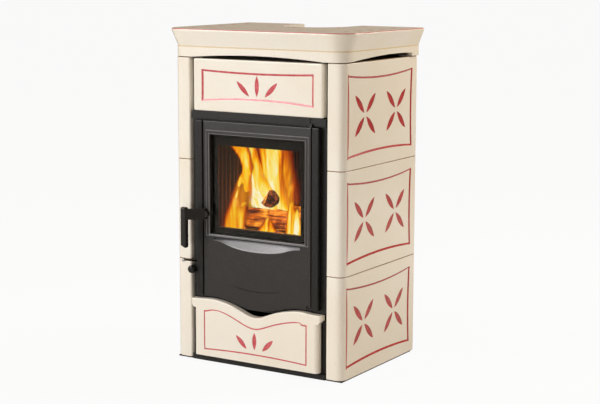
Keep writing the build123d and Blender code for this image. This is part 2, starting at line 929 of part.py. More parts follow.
with BuildPart() as frame_body:
    block(-frame_half, frame_half, -frame_front, -frame_back, base_top, frame_top)
    block(
        -frame_half,
        frame_half,
        -frame_front - frame_band,
        -frame_front,
        band_low,
        frame_top,
    )
    for side in (-1, 1):
        block(
            side * rib_inner,
            side * rib_outer,
            -rib_front,
            -frame_front,
            door_low + rib_lift,
            door_top + rib_rise,
        )
    rib_edges = frame_body.faces().sort_by(Axis.Y)[:2].edges()
    fillet(rib_edges, tile_edge_radius)
    block(
        -opening_half,
        opening_half,
        -frame_front,
        -frame_back,
        opening_low,
        opening_high,
        mode=Mode.SUBTRACT,
    )
    drawer_opening_half = body_half - drawer_opening_lap
    block(
        -drawer_opening_half,
        drawer_opening_half,
        -frame_front,
        -frame_back,
        base_top,
        drawer_opening_high,
        mode=Mode.SUBTRACT,
    )



def air_holes():
    """The ring of holes that the primary air disc opens and closes."""
    with BuildSketch() as holes:
        with PolarLocations(
            air_hole_circle,
            air_hole_count,
            -air_hole_angle,
            air_hole_angle * (air_hole_count - 1),
        ):
            Circle(air_hole_radius)
    return holes.sketch


# Hinge lugs and the holes for the air controls.
lug_left = hinge_x - hinge_lug_half_width
lug_right = hinge_x + hinge_lug_half_width
with BuildPart() as front_frame:
    add(frame_body.part)
    block(
        lug_left,
        lug_right,
        -door_front,
        -frame_front,
        door_low,
        lower_lug_top,
    )
    block(
        lug_left,
        lug_right,
        -door_front,
        -frame_front,
        door_top + hinge_washer,
        door_top + hinge_washer + hinge_lug,
    )
    with Locations((hinge_x, -hinge_front, (door_low + door_top) / 2)):
        Cylinder(hinge_pin_radius, frame_top, mode=Mode.SUBTRACT)
    shaft(
        air_x,
        primary_height,
        air_spindle_radius + running_gap,
        frame_front,
        frame_plate,
        Mode.SUBTRACT,
    )
    shaft(
        air_x,
        secondary_height,
        rod_radius + running_gap,
        frame_front,
        frame_plate,
        Mode.SUBTRACT,
    )
    with BuildSketch(front_plane(frame_back)):
        with Locations((air_x, primary_height)):
            add(air_holes())
    extrude(amount=frame_plate, mode=Mode.SUBTRACT)
save(front_frame, "front_frame")

with BuildPart() as lower_pin:
    with Locations((hinge_x, -hinge_front, door_low)):
        Cylinder(
            hinge_pin_radius,
            hinge_lug + hinge_washer + hinge_pin_engagement,
            align=(Align.CENTER, Align.CENTER, Align.MIN),
        )
save(lower_pin, "hinge_pin_lower")

with BuildPart() as upper_pin:
    with Locations((hinge_x, -hinge_front, door_top + hinge_washer + hinge_lug)):
        Cylinder(
            hinge_pin_radius,
            hinge_lug + hinge_washer + hinge_pin_engagement,
            align=(Align.CENTER, Align.CENTER, Align.MAX),
        )
save(upper_pin, "hinge_pin_upper")

# The latch cam bears on this wear plate behind the frame.
with BuildPart() as keeper:
    block(
        -opening_half - keeper_gap - keeper_width,
        -opening_half - keeper_gap,
        -frame_back,
        -frame_back + keeper_thickness,
        handle_z - keeper_height / 2,
        handle_z + keeper_height / 2,
    )
save(keeper, "latch_keeper")

# ==== door ========================================================================

door_wave_height = door_low - door_wave_dip
with BuildPart() as door_blank:
    with BuildSketch(front_plane(door_back)):
        with BuildLine():
            wave(
                (0, door_wave_height),
                (door_wave_knee, door_low - door_knee_drop),
                (door_wave_reach, door_low),
            )
            Polyline(
                (door_wave_reach, door_low),
                (door_half, door_low),
                (door_half, door_top),
                (-door_half, door_top),
                (-door_half, door_low),
                (-door_wave_reach, door_low),
            )
        make_face()
    extrude(amount=door_plate)
    door_outline = door_blank.faces().sort_by(Axis.Y)[0].edges()
    fillet(door_outline, door_edge_radius)
    rear_edges = door_blank.faces().sort_by(Axis.Y)[-1].edges().filter_by(Axis.Z)
    fillet(rear_edges, door_edge_radius)

sill_top = glass_low - sill_drop
with BuildPart() as door_sill:
    with BuildSketch(front_plane(door_front)):
        with BuildLine():
            wave(
                (0, sill_top - sill_height_middle),
                (sill_knee, sill_top - sill_height_knee),
                (sill_half_width, sill_top - sill_height_side),
            )
            Polyline(
                (sill_half_width, sill_top - sill_height_side),
                (sill_half_width, sill_top),
                (-sill_half_width, sill_top),
                (-sill_half_width, sill_top - sill_height_side),
            )
        make_face()
    with BuildSketch(front_plane(door_front - sill_depth)):
        with Locations((0, sill_top)):
            Rectangle(2 * sill_half_width, sill_edge, align=(Align.CENTER, Align.MAX))
    loft(ruled=True)

with BuildPart() as door_crease:
    with BuildSketch(front_plane(door_front)):
        with BuildLine():
            wave(
                (0, door_low + crease_lift_middle),
                (crease_knee, door_low + crease_lift_knee),
                (door_half, door_low + crease_lift_side),
            )
            Polyline(
                (door_half, door_low + crease_lift_side),
                (door_half, door_wave_height),
                (-door_half, door_wave_height),
                (-door_half, door_low + crease_lift_side),
            )
        make_face()
    extrude(amount=-crease_depth)

# Rebates and bores of the door, and the ring behind it that holds the glass.
ring_inner = glass_half + glass_overlap + glass_play
ring_low = glass_low - glass_overlap - glass_play
ring_high = glass_high + glass_overlap + glass_play
lug_clear_top = lower_lug_top + hinge_washer
hinge_bore_depth = hinge_pin_engagement + hinge_pin_play
with BuildPart() as door:
    add(door_blank.part)
    add(door_sill.part, mode=Mode.SUBTRACT)
    add(door_crease.part, mode=Mode.SUBTRACT)
    block(
        -glass_half,
        glass_half,
        -door_front,
        -door_back,
        glass_low,
        glass_high,
        mode=Mode.SUBTRACT,
    )
    daylight = door.faces().sort_by(Axis.Y)[0].inner_wires().sort_by(SortBy.LENGTH)[-1]
    fillet(daylight.edges(), bevel_radius)
    with BuildSketch(front_plane(door_front)):
        with BuildLine():
            moulding_half = glass_half + groove_offset
            moulding_low = glass_low - groove_offset_low
            moulding_high = glass_high + groove_offset
            Polyline(
                (-moulding_half, moulding_low),
                (moulding_half, moulding_low),
                (moulding_half, moulding_high),
                (-moulding_half, moulding_high),
                close=True,
            )
        make_face()
        offset(amount=-groove_width, mode=Mode.SUBTRACT)
    extrude(amount=-groove_cut, mode=Mode.SUBTRACT)
    block(
        -ring_inner - ring_wall,
        ring_inner + ring_wall,
        -door_back,
        -ring_back,
        ring_low - ring_wall,
        ring_high + ring_wall,
    )
    block(
        -ring_inner,
        ring_inner,
        -door_back,
        -ring_back,
        ring_low,
        ring_high,
        mode=Mode.SUBTRACT,
    )
    block(
        lug_left - hinge_cheek,
        door_half,
        -door_front,
        -door_back,
        door_low,
        lug_clear_top,
        mode=Mode.SUBTRACT,
    )
    for height in (lug_clear_top, door_top - hinge_bore_depth):
        with Locations((hinge_x, -hinge_front, height)):
            Cylinder(
                hinge_pin_radius + running_gap,
                hinge_bore_depth,
                align=(Align.CENTER, Align.CENTER, Align.MIN),
                mode=Mode.SUBTRACT,
            )
    shaft(
        handle_x,
        handle_z,
        spindle_radius + running_gap,
        door_front,
        door_plate,
        Mode.SUBTRACT,
    )
save(door, "door")

# The glass, its gasket and its clips.
pane_half = glass_half + glass_overlap
pane_low = glass_low - glass_overlap
pane_high = glass_high + glass_overlap
with BuildPart() as glass:
    block(-pane_half, pane_half, -glass_front, -glass_back, pane_low, pane_high)
save(glass, "door_glass")

with BuildPart() as gasket:
    block(-pane_half, pane_half, -door_back, -glass_front, pane_low, pane_high)
    block(
        -glass_half,
        glass_half,
        -door_back,
        -glass_front,
        glass_low,
        glass_high,
        mode=Mode.SUBTRACT,
    )
save(gasket, "glass_gasket")

clip_inner = ring_inner - clip_reach
clip_low = (glass_low + glass_high - clip_length) / 2
with BuildPart() as right_clip:
    block(
        clip_inner,
        ring_inner + ring_wall,
        -ring_back,
        -ring_back + thin_sheet,
        clip_low,
        clip_low + clip_length,
    )
    block(
        clip_inner,
        clip_inner + thin_sheet,
        -glass_back,
        -ring_back,
        clip_low,
        clip_low + clip_length,
    )
save(right_clip, "glass_clip_right")
with BuildPart() as left_clip:
    mirror(right_clip.part, about=Plane.YZ)
save(left_clip, "glass_clip_left")

# The rope seal is carried by the door and lands on the frame round its opening.
rope_inner = opening_half + rope_play
rope_low = opening_low - rope_play
rope_high = opening_high + rope_play
with BuildPart() as rope:
    block(
        -rope_inner - rope_width,
        rope_inner + rope_width,
        -door_back,
        -frame_front - soft_gap,
        rope_low - rope_width,
        rope_high + rope_width,
    )
    block(
        -rope_inner,
        rope_inner,
        -door_back,
        -frame_front - soft_gap,
        rope_low,
        rope_high,
        mode=Mode.SUBTRACT,
    )
save(rope, "door_seal")

# ==== handle and latch ============================================================

hub_front = door_front + hub_gap + hub_length
grip_x = handle_x - grip_offset
grip_front = door_front + grip_front_offset + grip_depth / 2
arm_end_x = grip_x + grip_width / 2 - arm_overlap
with BuildPart() as handle:
    with BuildSketch(front_plane(grip_front - grip_depth)):
        with BuildLine():
            Polyline(
                (grip_x + grip_width / 2, grip_low),
                (grip_x + grip_width / 2, grip_high),
                (grip_x - grip_width / 2, grip_high),
                (grip_x - grip_width / 2, grip_low + grip_slant),
                close=True,
            )
        make_face()
    extrude(amount=grip_depth)
    fillet(handle.edges(), grip_radius)
    with BuildSketch(Plane.YZ.offset(handle_x)):
        with Locations((-hub_front + hub_length / 2, handle_z)):
            Rectangle(arm_thickness, arm_height)
    with BuildSketch(Plane.YZ.offset(arm_end_x)):
        with Locations((-grip_front + grip_depth / 2, grip_high - arm_height / 2 - grip_radius)):
            Rectangle(arm_thickness, arm_height)
    loft(ruled=True)
    shaft(handle_x, handle_z, hub_radius, hub_front, hub_length)
    shaft(handle_x, handle_z, spindle_radius, hub_front, hub_front - cam_front)
    shaft(handle_x, handle_z, stud_radius, cam_front, cam_thickness + nut_height)
save(handle, "handle")

with BuildPart() as cam:
    with BuildSketch(front_plane(cam_front - cam_thickness)):
        with Locations((handle_x, handle_z)):
            Circle(spindle_radius)
            Rectangle(2 * spindle_radius, cam_length, align=(Align.CENTER, Align.MAX))
            Circle(stud_radius, mode=Mode.SUBTRACT)
    extrude(amount=cam_thickness)
save(cam, "latch_cam")

with BuildPart() as nut:
    with BuildSketch(front_plane(cam_front - cam_thickness - nut_height)):
        with Locations((handle_x, handle_z)):
            RegularPolygon(nut_radius, 6)
            Circle(stud_radius, mode=Mode.SUBTRACT)
    extrude(amount=nut_height)
save(nut, "latch_nut")

# ==== air controls ================================================================

disc_front = frame_back - thin_sheet - soft_gap
knob_back = frame_front + knob_gap
knob_front = knob_back + knob_depth
with BuildPart() as air_disc:
    shaft(air_x, primary_height, disc_radius, disc_front, thin_sheet)
    with BuildSketch(front_plane(disc_front)):
        with Locations((air_x, primary_height)):
            add(air_holes())
    extrude(amount=-thin_sheet, mode=Mode.SUBTRACT)
    shaft(
        air_x,
        primary_height,
        air_spindle_radius,
        knob_back + knob_bore,
        knob_back + knob_bore - disc_front,
    )
save(air_disc, "primary_air_disc")

with BuildPart() as knob:
    shaft(air_x, primary_height, knob_radius, knob_front, knob_depth)
    fillet(knob.faces().sort_by(Axis.Y)[0].edges(), knob_dome)
    shaft(
        air_x,
        primary_height,
        air_spindle_radius,
        knob_back + knob_bore,
        knob_bore,
        Mode.SUBTRACT,
    )
save(knob, "primary_air_knob")

box_left = -body_half - air_box_width
box_rear = -frame_back + air_box_depth
with BuildPart() as air_box:
    block(box_left, -body_half, -frame_back, box_rear, air_box_low, air_box_high)
    block(
        box_left + thin_sheet,
        -body_half,
        -frame_back + thin_sheet,
        box_rear - thin_sheet,
        air_box_low + thin_sheet,
        air_box_high - thin_sheet,
        mode=Mode.SUBTRACT,
    )
    with BuildSketch(front_plane(frame_back)):
        with Locations((air_x, primary_height)):
            Circle(air_spindle_radius + air_box_hole_gap)
            add(air_holes())
        with Locations((air_x, secondary_height)):
            Circle(rod_radius + air_box_hole_gap)
    extrude(amount=-thin_sheet, mode=Mode.SUBTRACT)
save(air_box, "air_box")

# The rod of the secondary air carries its shutter inside the air box.
shutter_y = -frame_back + shutter_front
rod_rear = -frame_back + rod_inside
rod_knee = -frame_front - rod_straight
rod_tip = (-frame_front - rod_reach, secondary_height + rod_rise)
with BuildPart() as air_rod:
    with BuildLine(Plane.YZ.offset(air_x)) as rod_path:
        FilletPolyline(
            (rod_rear, secondary_height),
            (rod_knee, secondary_height),
            rod_tip,
            radius=rod_bend,
        )
    with BuildSketch(Plane((air_x, rod_rear, secondary_height), z_dir=(0, -1, 0))):
        Circle(rod_radius)
    sweep(path=rod_path.line)
    block(
        -body_half - soft_gap - thin_sheet,
        -body_half - soft_gap,
        shutter_y,
        shutter_y + shutter_length,
        secondary_height - shutter_below,
        secondary_height - shutter_below + shutter_height,
    )
    block(
        air_x - 2 * rod_radius,
        -body_half - soft_gap,
        shutter_y,
        shutter_y + thin_sheet,
        secondary_height - tab_height / 2,
        secondary_height + tab_height / 2,
    )
save(air_rod, "secondary_air_rod")

with BuildPart() as ball:
    with Locations((air_x, *rod_tip)):
        Sphere(ball_radius)
    add(air_rod.part, mode=Mode.SUBTRACT)
save(ball, "secondary_air_ball")

# ==== drawer ======================================================================

runner_x = body_half - sheet
drawer_half = drawer_opening_half - drawer_play
drawer_rear = -drawer_tile_back + drawer_box_depth
with BuildPart() as drawer_box:
    block(
        -drawer_half,
        drawer_half,
        -drawer_tile_back,
        drawer_rear,
        drawer_box_low,
        drawer_box_high,
    )
    drawer_top_face = drawer_box.faces().sort_by(Axis.Z)[-1]
    offset(amount=-thin_sheet, openings=drawer_top_face)
save(drawer_box, "drawer_box")

with BuildPart() as right_runner:
    block(
        runner_x - runner_leg,
        runner_x,
        -frame_back,
        firebox_rear - sheet,
        drawer_box_low - sheet,
        drawer_box_low,
    )
    block(
        runner_x - sheet,
        runner_x,
        -frame_back,
        firebox_rear - sheet,
        drawer_box_low,
        drawer_box_low + runner_height,
    )
save(right_runner, "drawer_runner_right")
with BuildPart() as left_runner:
    mirror(right_runner.part, about=Plane.YZ)
save(left_runner, "drawer_runner_left")

# ==== hearth and lining ===========================================================

chamber_half = inner_half - lining
grate_middle = -frame_back + lining_front + grate_setback + grate_depth / 2
grate_hole_width = grate_width - 2 * grate_rim
grate_hole_depth = grate_depth - 2 * grate_rim
with BuildPart() as hearth_plate:
    block(
        -inner_half + soft_gap,
        inner_half - soft_gap,
        -frame_back + soft_gap,
        inner_rear - soft_gap,
        hearth_height,
        floor_height,
    )
    with Locations((0, grate_middle, floor_height)):
        Box(grate_hole_width, grate_hole_depth, 4 * hearth_thickness, mode=Mode.SUBTRACT)
save(hearth_plate, "hearth_plate")

grate_pitch = grate_hole_width / grate_bars
with BuildPart() as grate:
    with BuildSketch(Plane.XY.offset(floor_height)):
        with Locations((0, grate_middle)):
            Rectangle(grate_width, grate_depth)
            with GridLocations(grate_pitch, 1, grate_bars, 1):
                Rectangle(grate_gap, grate_hole_depth, mode=Mode.SUBTRACT)
    extrude(amount=grate_thickness)
save(grate, "grate")

with BuildPart() as log_guard:
    block(
        -chamber_half,
        chamber_half,
        -frame_back + ledge_width,
        -frame_back + ledge_width + log_guard_thickness,
        floor_height,
        floor_height + log_guard_height,
    )
save(log_guard, "log_guard")

# The lining is fluted from top to bottom on the side of the fire.
flute_inset = flute_radius - flute_depth
side_lining_depth = inner_rear - lining - lining_front + frame_back
side_flutes = int(side_lining_depth / flute_pitch)
rear_flutes = int(2 * chamber_half / flute_pitch)
side_lining_middle = (inner_rear - lining + lining_front - frame_back) / 2
with BuildPart() as right_lining:
    block(
        chamber_half,
        inner_half,
        -frame_back + lining_front,
        inner_rear - lining,
        floor_height,
        lining_top,
    )
    with Locations((chamber_half - flute_inset, side_lining_middle, floor_height)):
        with GridLocations(1, flute_pitch, 1, side_flutes):
            Cylinder(
                flute_radius,
                lining_height,
                align=(Align.CENTER, Align.CENTER, Align.MIN),
                mode=Mode.SUBTRACT,
            )
save(right_lining, "lining_right")
with BuildPart() as left_lining:
    mirror(right_lining.part, about=Plane.YZ)
save(left_lining, "lining_left")

with BuildPart() as rear_lining:
    block(-inner_half, inner_half, inner_rear - lining, inner_rear, floor_height, lining_top)
    with Locations((0, inner_rear - lining - flute_inset, floor_height)):
        with GridLocations(flute_pitch, 1, rear_flutes, 1):
            Cylinder(
                flute_radius,
                lining_height,
                align=(Align.CENTER, Align.CENTER, Align.MIN),
                mode=Mode.SUBTRACT,
            )
save(rear_lining, "lining_rear")

with BuildPart() as baffle:
    block(
        -inner_half + soft_gap,
        inner_half - soft_gap,
        -frame_back + baffle_front,
        inner_rear - soft_gap,
        lining_top,
        lining_top + baffle_thickness,
    )
save(baffle, "baffle")

with BuildPart() as ash_pan:
    with Locations((0, grate_middle, inner_low)):
        Box(pan_width, pan_depth, pan_height, align=(Align.CENTER, Align.CENTER, Align.MIN))
    pan_top_face = ash_pan.faces().sort_by(Axis.Z)[-1]
    offset(amount=-thin_sheet, openings=pan_top_face)
save(ash_pan, "ash_pan")

def split_log(radius, length, lean):
    """Log along X, with a flat split face turned by lean from facing forwards."""
    with BuildPart() as log:
        with BuildSketch(Plane.YZ.offset(-length / 2)):
            Circle(radius)
            with Locations((-log_split * radius, 0)):
                Rectangle(
                    radius,
                    2 * radius,
                    align=(Align.MAX, Align.CENTER),
                    mode=Mode.SUBTRACT,
                )
        extrude(amount=length)
    return log.part.rotate(Axis.X, -lean)


# Two split logs side by side on the grate and one across them.
grate_top = floor_height + grate_thickness
grate_log = split_log(log_radius, log_length, log_lean)
for end, end_name in ((-1, "front"), (1, "rear")):
    with BuildPart() as log:
        log_y = grate_middle + end * log_spacing / 2
        with Locations((end * log_shift, log_y, grate_top + log_radius)):
            add(grate_log)
    save(log, f"log_{end_name}")
with BuildPart() as top_log:
    top_log_y = grate_middle + top_log_setback
    top_log_z = grate_top + 2 * log_radius + top_log_radius
    with Locations(Location((-top_log_left, top_log_y, top_log_z), (0, 0, top_log_angle))):
        add(split_log(top_log_radius, top_log_length, log_lean))
save(top_log, "log_top")

# ==== rails, ledge and rear shield ================================================

rail_top = tiles_top - rail_drop
for y, rail_name in ((rail_front, "front"), (rail_rear, "rear")):
    with BuildPart() as right_rail:
        block(body_half, tile_inner, y, y + sheet, base_top, rail_top)
        for x_low in (body_half, tile_inner - sheet):
            block(x_low, x_low + sheet, y, y + rail_flange, base_top, rail_top)
    save(right_rail, f"tile_rail_{rail_name}_right")
    with BuildPart() as left_rail:
        mirror(right_rail.part, about=Plane.YZ)
    save(left_rail, f"tile_rail_{rail_name}_left")

with BuildPart() as ledge:
    block(
        -top_tile_half,
        top_tile_half,
        -frame_front - frame_band,
        -frame_back,
        frame_top,
        top_tile_low,
    )
save(ledge, "top_tile_ledge")

shield_front = half_depth - shield_setback - shield_sheet
shield_top = tiles_top - shield_drop
with BuildPart() as rear_shield:
    block(
        -tile_inner + shield_play,
        tile_inner - shield_play,
        shield_front,
        shield_front + shield_sheet,
        base_top,
        shield_top,
    )
    with BuildSketch(Plane.XZ.offset(-shield_front - shield_sheet)):
        with Locations((0, (base_top + shield_top) / 2)):
            with GridLocations(vent_pitch, vent_rows, vent_count, 2):
                Rectangle(vent_width, vent_length)
    extrude(amount=shield_sheet, mode=Mode.SUBTRACT)
    with BuildSketch(Plane.XZ.offset(-shield_front)):
        with Locations((0, (firebox_low + firebox_top) / 2)):
            with GridLocations(spacer_columns, spacer_rows, 2, 2):
                Circle(spacer_radius)
    extrude(amount=shield_front - firebox_rear)
save(rear_shield, "rear_shield")
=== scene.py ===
"""Tiled wood stove: its finishes, its fire and the studio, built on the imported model.

Metres, X to the right, Y to the back, Z up. The door faces -Y.
"""

import math
import random

import bmesh
import bpy
from mathutils import Matrix, Vector, noise


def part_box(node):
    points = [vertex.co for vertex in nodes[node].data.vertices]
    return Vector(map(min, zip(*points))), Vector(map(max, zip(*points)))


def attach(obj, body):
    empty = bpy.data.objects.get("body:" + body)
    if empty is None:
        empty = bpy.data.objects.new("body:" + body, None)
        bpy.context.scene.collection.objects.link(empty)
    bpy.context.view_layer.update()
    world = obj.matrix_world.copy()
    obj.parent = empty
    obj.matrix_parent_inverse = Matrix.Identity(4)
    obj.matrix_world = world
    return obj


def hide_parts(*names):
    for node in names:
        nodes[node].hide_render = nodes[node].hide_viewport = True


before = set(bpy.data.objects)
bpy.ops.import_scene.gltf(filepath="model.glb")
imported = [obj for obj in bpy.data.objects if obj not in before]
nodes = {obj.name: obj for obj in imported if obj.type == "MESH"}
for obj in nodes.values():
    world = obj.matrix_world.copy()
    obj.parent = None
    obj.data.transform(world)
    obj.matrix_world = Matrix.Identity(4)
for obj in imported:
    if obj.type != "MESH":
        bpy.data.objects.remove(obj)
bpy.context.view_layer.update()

# ---- Base plate and sheet-steel shell --------------------------------------------------
# The base plate, the chassis, the welded firebox and the drawer box are folded or welded
# from sheet steel and sprayed with matt heat-proof paint, which dries to a fine orange peel.


def tone(red, green, blue):
    """A colour as it reads on a screen, 0 to 255, in linear values."""
    return (*((c / 255) ** 2.2 for c in (red, green, blue)), 1.0)


def feed(tree, socket, value):
    """Wire another socket into this one, or set it."""
    if isinstance(value, bpy.types.NodeSocket):
        tree.links.new(value, socket)
    else:
        socket.default_value = value


def maths(tree, operation, *values, clamp=False):
    """One sum on sockets or numbers."""
    step = tree.nodes.new("ShaderNodeMath")
    step.operation = operation
    step.use_clamp = clamp
    for socket, value in zip(step.inputs, values):
        feed(tree, socket, value)
    return step.outputs["Value"]


def spread(tree, value, low, high, start=0.0, end=1.0, smooth=False):
    """Carry a value from low..high over to start..end."""
    step = tree.nodes.new("ShaderNodeMapRange")
    step.interpolation_type = "SMOOTHSTEP" if smooth else "LINEAR"
    for socket, number in zip(step.inputs, (value, low, high, start, end)):
        feed(tree, socket, number)
    return step.outputs["Result"]


def blend(tree, share, first, second):
    """The first colour where share is 0, the second where it is 1."""
    step = tree.nodes.new("ShaderNodeMix")
    step.data_type = "RGBA"
    feed(tree, step.inputs[0], share)
    feed(tree, step.inputs[6], first)
    feed(tree, step.inputs[7], second)
    return step.outputs[2]


def cloud(tree, place, scale, detail=2.0, roughness=0.5, distortion=0.0):
    """Soft random pattern."""
    step = tree.nodes.new("ShaderNodeTexNoise")
    feed(tree, step.inputs["Vector"], place)
    feed(tree, step.inputs["Scale"], scale)
    feed(tree, step.inputs["Detail"], detail)
    feed(tree, step.inputs["Roughness"], roughness)
    feed(tree, step.inputs["Distortion"], distortion)
    return step.outputs["Fac"]


def place_of(tree):
    """Where a point is on the stove as built, wherever its body has moved."""
    return tree.nodes.new("ShaderNodeTexCoord").outputs["Object"]


def axes_of(tree, place):
    """X, Y and Z of a place, each on its own."""
    step = tree.nodes.new("ShaderNodeSeparateXYZ")
    feed(tree, step.inputs[0], place)
    return step.outputs["X"], step.outputs["Y"], step.outputs["Z"]


def stretched(tree, place, scale):
    """The same place, with the pattern drawn out along its axes."""
    step = tree.nodes.new("ShaderNodeMapping")
    feed(tree, step.inputs["Vector"], place)
    step.inputs["Scale"].default_value = scale
    return step.outputs["Vector"]


def bump(tree, shader, height, depth, strength=1.0):
    """Raise the surface by a height pattern, depth metres from low to high."""
    step = tree.nodes.new("ShaderNodeBump")
    step.inputs["Strength"].default_value = strength
    step.inputs["Distance"].default_value = depth
    feed(tree, step.inputs["Height"], height)
    tree.links.new(step.outputs["Normal"], shader.inputs["Normal"])


def new_finish(name, colour, roughness, **steady):
    """A finish and its shader. What is the same all over is set on the shader."""
    finish = bpy.data.materials.new(name)
    finish.use_nodes = True
    shader = finish.node_tree.nodes["Principled BSDF"]
    shader.inputs["Base Color"].default_value = colour
    shader.inputs["Roughness"].default_value = roughness
    for socket, value in steady.items():
        shader.inputs[socket.replace("_", " ")].default_value = value
    return finish, finish.node_tree, shader


def new_group(name, inputs, outputs):
    """A shared effect: named numbers in, named patterns out."""
    group = bpy.data.node_groups.new(name, "ShaderNodeTree")
    for title, value in inputs.items():
        socket = group.interface.new_socket(title, in_out="INPUT", socket_type="NodeSocketFloat")
        socket.default_value = value
    for title in outputs:
        group.interface.new_socket(title, in_out="OUTPUT", socket_type="NodeSocketFloat")
    given = group.nodes.new("NodeGroupInput").outputs
    result = group.nodes.new("NodeGroupOutput").inputs
    return group, given, result


def effect(tree, group, **values):
    """Use a shared effect in a finish, and give its patterns by name."""
    step = tree.nodes.new("ShaderNodeGroup")
    step.node_tree = group
    for title, value in values.items():
        feed(tree, step.inputs[title], value)
    return step.outputs


def dress(finish, *names):
    """Give CAD pieces a finish."""
    for name in names:
        skin = nodes[name].data
        for index in range(len(skin.materials)):
            skin.materials[index] = finish
        if not skin.materials:
            skin.materials.append(finish)


def mottle(tree, shader, skin, dark, light):
    """Let the patches of a skin wander between two tones."""
    feed(tree, shader.inputs["Base Color"], blend(tree, skin["Patch"], dark, light))


# A painted or cast skin: fine grain that lifts the surface, broad uneven patches, and
# scattered flecks where the grain pattern is at its highest.
fleck_from = 0.62
fleck_full = 0.72
skin_grain, given, result = new_group(
    "skin_grain", {"Grain": 500.0, "Patches": 6.0}, ("Height", "Patch", "Fleck")
)
place = place_of(skin_grain)
feed(skin_grain, result["Height"], cloud(skin_grain, place, given["Grain"], 3.0, 0.6))
feed(skin_grain, result["Patch"], cloud(skin_grain, place, given["Patches"], 5.0, 0.6))
fleck = cloud(skin_grain, place, given["Grain"], 1.0, 0.5, 1.0)
feed(skin_grain, result["Fleck"], spread(skin_grain, fleck, fleck_from, fleck_full))

black_paint, tree, shader = new_finish("black_paint", tone(40, 40, 39), 0.6)
skin = effect(tree, skin_grain, Grain=900.0, Patches=7.0)
mottle(tree, shader, skin, tone(31, 31, 31), tone(48, 47, 45))
feed(tree, shader.inputs["Roughness"], spread(tree, skin["Patch"], 0.3, 0.7, 0.52, 0.68))
bump(tree, shader, skin["Height"], 0.0002, 0.5)
dress(
    black_paint,
    "base_plate",
    "chassis",
    "firebox",
    "top_tile_ledge",
    "air_box",
    "drawer_box",
    "drawer_runner_left",
    "drawer_runner_right",
    "rear_shield",
)

# ---- Feet and crown pads ---------------------------------------------------------------
# Pressed rubber feet under the base plate, and strips of the same rubber that keep the
# crown off the tiles.

rubber, tree, shader = new_finish("rubber", tone(36, 35, 34), 0.85)
skin = effect(tree, skin_grain, Grain=1400.0, Patches=40.0)
mottle(tree, shader, skin, tone(28, 27, 27), tone(44, 43, 41))
bump(tree, shader, skin["Height"], 0.0001, 0.6)
for side in ("left", "right"):
    for end in ("front", "rear"):
        dress(rubber, f"foot_{end}_{side}", f"crown_pad_{end}_{side}")

# ---- Felt under the crown --------------------------------------------------------------
# A strip of black heat-proof felt on the rear shield and the side tiles, squeezed under the
# rear wall of the crown to close the slit there.


def mesh_piece(name, points, faces, finish, smooth=False):
    """A new piece from its points and faces."""
    skin = bpy.data.meshes.new(name)
    skin.from_pydata(points, [], faces)
    skin.validate()
    skin.materials.append(finish)
    for face in skin.polygons:
        face.use_smooth = smooth
    piece = bpy.data.objects.new(name, skin)
    bpy.context.scene.collection.objects.link(piece)
    return piece


felt_half = 0.301
felt_front = 0.2110
felt_rear = 0.2268
felt_high = 0.9663
felt_steps = 240
felt_fray = 0.0005

felt, tree, shader = new_finish("felt", tone(24, 23, 22), 0.95)
skin = effect(tree, skin_grain, Grain=1600.0, Patches=60.0)
mottle(tree, shader, skin, tone(17, 16, 16), tone(36, 35, 33))
bump(tree, shader, skin["Height"], 0.0004, 0.9)
shield_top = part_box("rear_shield")[1].z
tile_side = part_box("right_tile_upper")[0].x
tile_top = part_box("right_tile_upper")[1].z
points = []
for j in range(felt_steps + 1):
    x = felt_half * (2 * j / felt_steps - 1)
    foot = shield_top if abs(x) < tile_side else tile_top
    fray = felt_fray * noise.noise(Vector((x * 160, 0, 0)))
    points.append((x, felt_front + fray, foot))
    points.append((x, felt_rear + fray, foot))
    points.append((x, felt_rear + fray, felt_high))
    points.append((x, felt_front + fray, felt_high))
faces = []
for j in range(felt_steps):
    for i in range(4):
        k = (i + 1) % 4
        faces.append((4 * j + i, 4 * j + k, 4 * j + 4 + k, 4 * j + 4 + i))
faces.append((3, 2, 1, 0))
faces.append(tuple(4 * felt_steps + i for i in range(4)))
strip = mesh_piece("crown_felt", points, faces, felt)
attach(strip, "stove")

# ---- Rails, clips, latch and hinge pins ------------------------------------------------
# Bright zinc-plated steel: folded rails that the side tiles hang on, the clips of the
# glass, the hinge pins and the latch. The ash pan is drawn from the same sheet.

zinc, tree, shader = new_finish("zinc", tone(150, 151, 152), 0.42, Metallic=1.0)
place = place_of(tree)
skin = effect(tree, skin_grain, Grain=260.0, Patches=22.0)
rolled = cloud(tree, stretched(tree, place, (900.0, 900.0, 12.0)), 1.0, 2.0)
spangle = blend(tree, skin["Patch"], tone(126, 128, 131), tone(178, 178, 176))
rolled_grey = blend(tree, rolled, tone(110, 110, 110), tone(190, 190, 190))
feed(tree, shader.inputs["Base Color"], blend(tree, 0.25, spangle, rolled_grey))
feed(tree, shader.inputs["Roughness"], spread(tree, skin["Patch"], 0.3, 0.7, 0.34, 0.55))
bump(tree, shader, rolled, 0.00005, 0.4)
dress(
    zinc,
    "latch_cam",
    "latch_nut",
    "latch_keeper",
    "hinge_pin_lower",
    "hinge_pin_upper",
    "glass_clip_right",
    "glass_clip_left",
    "primary_air_disc",
    "ash_pan",
    *(f"tile_rail_{end}_{side}" for end in ("front", "rear") for side in ("left", "right")),
)

# ---- Hearth plate, grate, log guard, top plate and flue collar -------------------------
# Bare grey-iron castings, left rough from the sand, with brown scale where they get hot
# and pale ash dust on the faces that look up.

